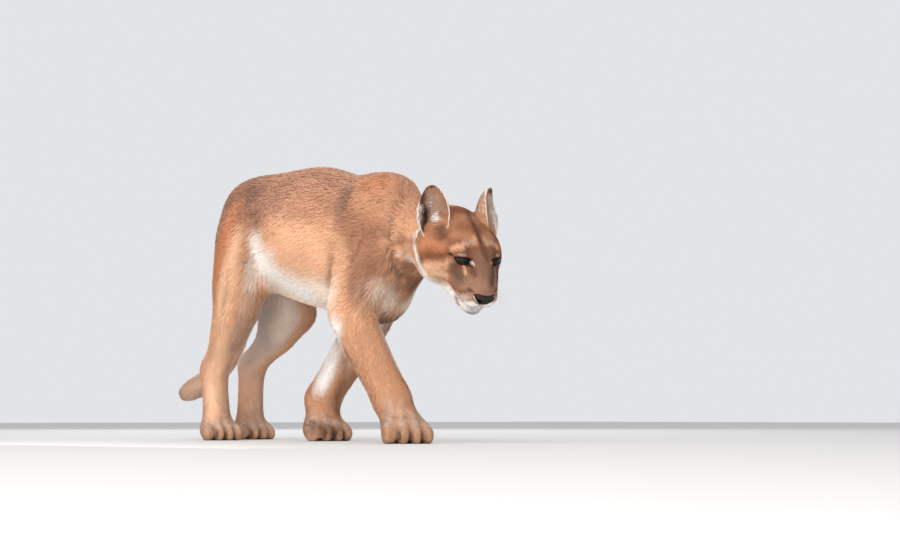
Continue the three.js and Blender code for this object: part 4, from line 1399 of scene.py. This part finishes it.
def nosePad():
    work = bmesh.new()
    work.from_mesh(nodes["nose"].data)
    bmesh.ops.remove_doubles(work, verts=work.verts, dist=1e-6)
    bmesh.ops.recalc_face_normals(work, faces=work.faces)
    thing = newObject("pad", meshFrom(work, "pad"))
    remesh = thing.modifiers.new("fine", "REMESH")
    remesh.mode = "VOXEL"
    remesh.voxel_size = 0.0007
    pad = applied(thing, "nose_leather")
    places = relax(vertexArray(pad), edgeArray(pad), 0.5, 5)
    setVertices(pad, places)
    padTree = meshTree(pad)
    facing = normalArray(pad)
    path = []
    for pixel in nostril["path"]:
        hit = hitPixel(padTree, *pixel)
        if hit is not None:
            path.append(np.array(hit))
    slit = np.zeros(len(places))
    if len(path) > 1:
        line = np.concatenate([np.linspace(a, b, 12) for a, b in zip(path, path[1:])])
        for route in (line, acrossHead(line)):
            far = np.linalg.norm(places[:, None] - route[None], axis=2).min(1)
            slit = np.maximum(slit, np.exp(-((far / (nostril["width"] / 1000)) ** 2)))
    setVertices(pad, places - facing * (slit * nostril["depth"] / 1000)[:, None])
    smoothShade(pad)
    local = toHead(places)
    top = smoothStep(-14, 2, local[:, 2])[:, None]
    dark = linear(leather["dark"])
    colours = dark + (linear(leather["pale"]) - dark) * top
    # painted shade: the nostril slits laid darker
    colours = colours * (1 - 0.85 * slit[:, None])
    upper = smoothStep(*leather["levels"], local[:, 2])
    wide = leather["bottom"] + (leather["top"] - leather["bottom"]) * upper
    furred = smoothStep(-0.6, 0.8, np.abs(local[:, 1]) - wide)[:, None]
    colours = colours + (paint["greyCream"] - colours) * furred
    colourAttribute(pad, colours)
    thing = newObject("nose_leather", pad, wetMaterial("noseLeather", 0.6, 0.0, 0.3))
    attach(thing, "root")
    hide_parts("nose")
    print("nose:", len(places), "points,", len(path), "nostril points")


nosePad()

# Scene: camera, floor and soft light
lens = bpy.data.cameras.new("camera")
lens.sensor_width = 36
lens.lens = camera["focal"] / camera["frame"][0] * lens.sensor_width
view = bpy.data.objects.new("camera", lens)
view.location = camera["place"]
view.rotation_euler = (math.radians(90 + camera["rise"]), 0, math.radians(camera["turn"]))
scene.collection.objects.link(view)
scene.camera = view
scene.view_settings.view_transform = "Standard"

studio = {
    "floorSize": 12.0,
    "floorColour": (0.60, 0.59, 0.58),
    "skyStrength": 0.80,
    "skyColour": (0.95, 0.97, 1.0),
    "key": {"place": (1.2, -2.2, 3.2), "size": 2.6, "power": 70, "tint": (1.0, 0.97, 0.92)},
    "front": {"place": (3.2, -2.6, 0.7), "size": 2.4, "power": 66, "tint": (1.0, 0.98, 0.95)},
    "fill": {"place": (-2.4, 1.6, 2.2), "size": 3.0, "power": 45, "tint": (0.95, 0.97, 1.0)},
    "low": {"place": (0.15, -0.7, 0.03), "size": 1.0, "power": 4, "tint": (1.0, 0.97, 0.94)},
    "aim": (0, 0, 0.3),
}
work = bmesh.new()
bmesh.ops.create_grid(work, x_segments=1, y_segments=1, size=studio["floorSize"])
floorMesh = meshFrom(work, "floor")
floorPaint, _, floorShader = newMaterial("paleFloor", 0.9)
floorShader.inputs["Base Color"].default_value = (*studio["floorColour"], 1)
floor = newObject("floor", floorMesh, floorPaint)

world = bpy.data.worlds.new("studio")
world.use_nodes = True
sky = world.node_tree.nodes["Background"]
sky.inputs["Color"].default_value = (*studio["skyColour"], 1)
sky.inputs["Strength"].default_value = studio["skyStrength"]
scene.world = world


def areaLight(name):
    made = studio[name]
    light = bpy.data.lights.new(name, "AREA")
    light.size = made["size"]
    light.energy = made["power"]
    light.color = made["tint"]
    thing = bpy.data.objects.new(name, light)
    thing.location = made["place"]
    thing.rotation_euler = (Vector(studio["aim"]) - Vector(made["place"])).to_track_quat("-Z", "Y").to_euler()
    thing.visible_camera = False
    scene.collection.objects.link(thing)


for name in ("key", "front", "fill", "low"):
    areaLight(name)
print("stage set")
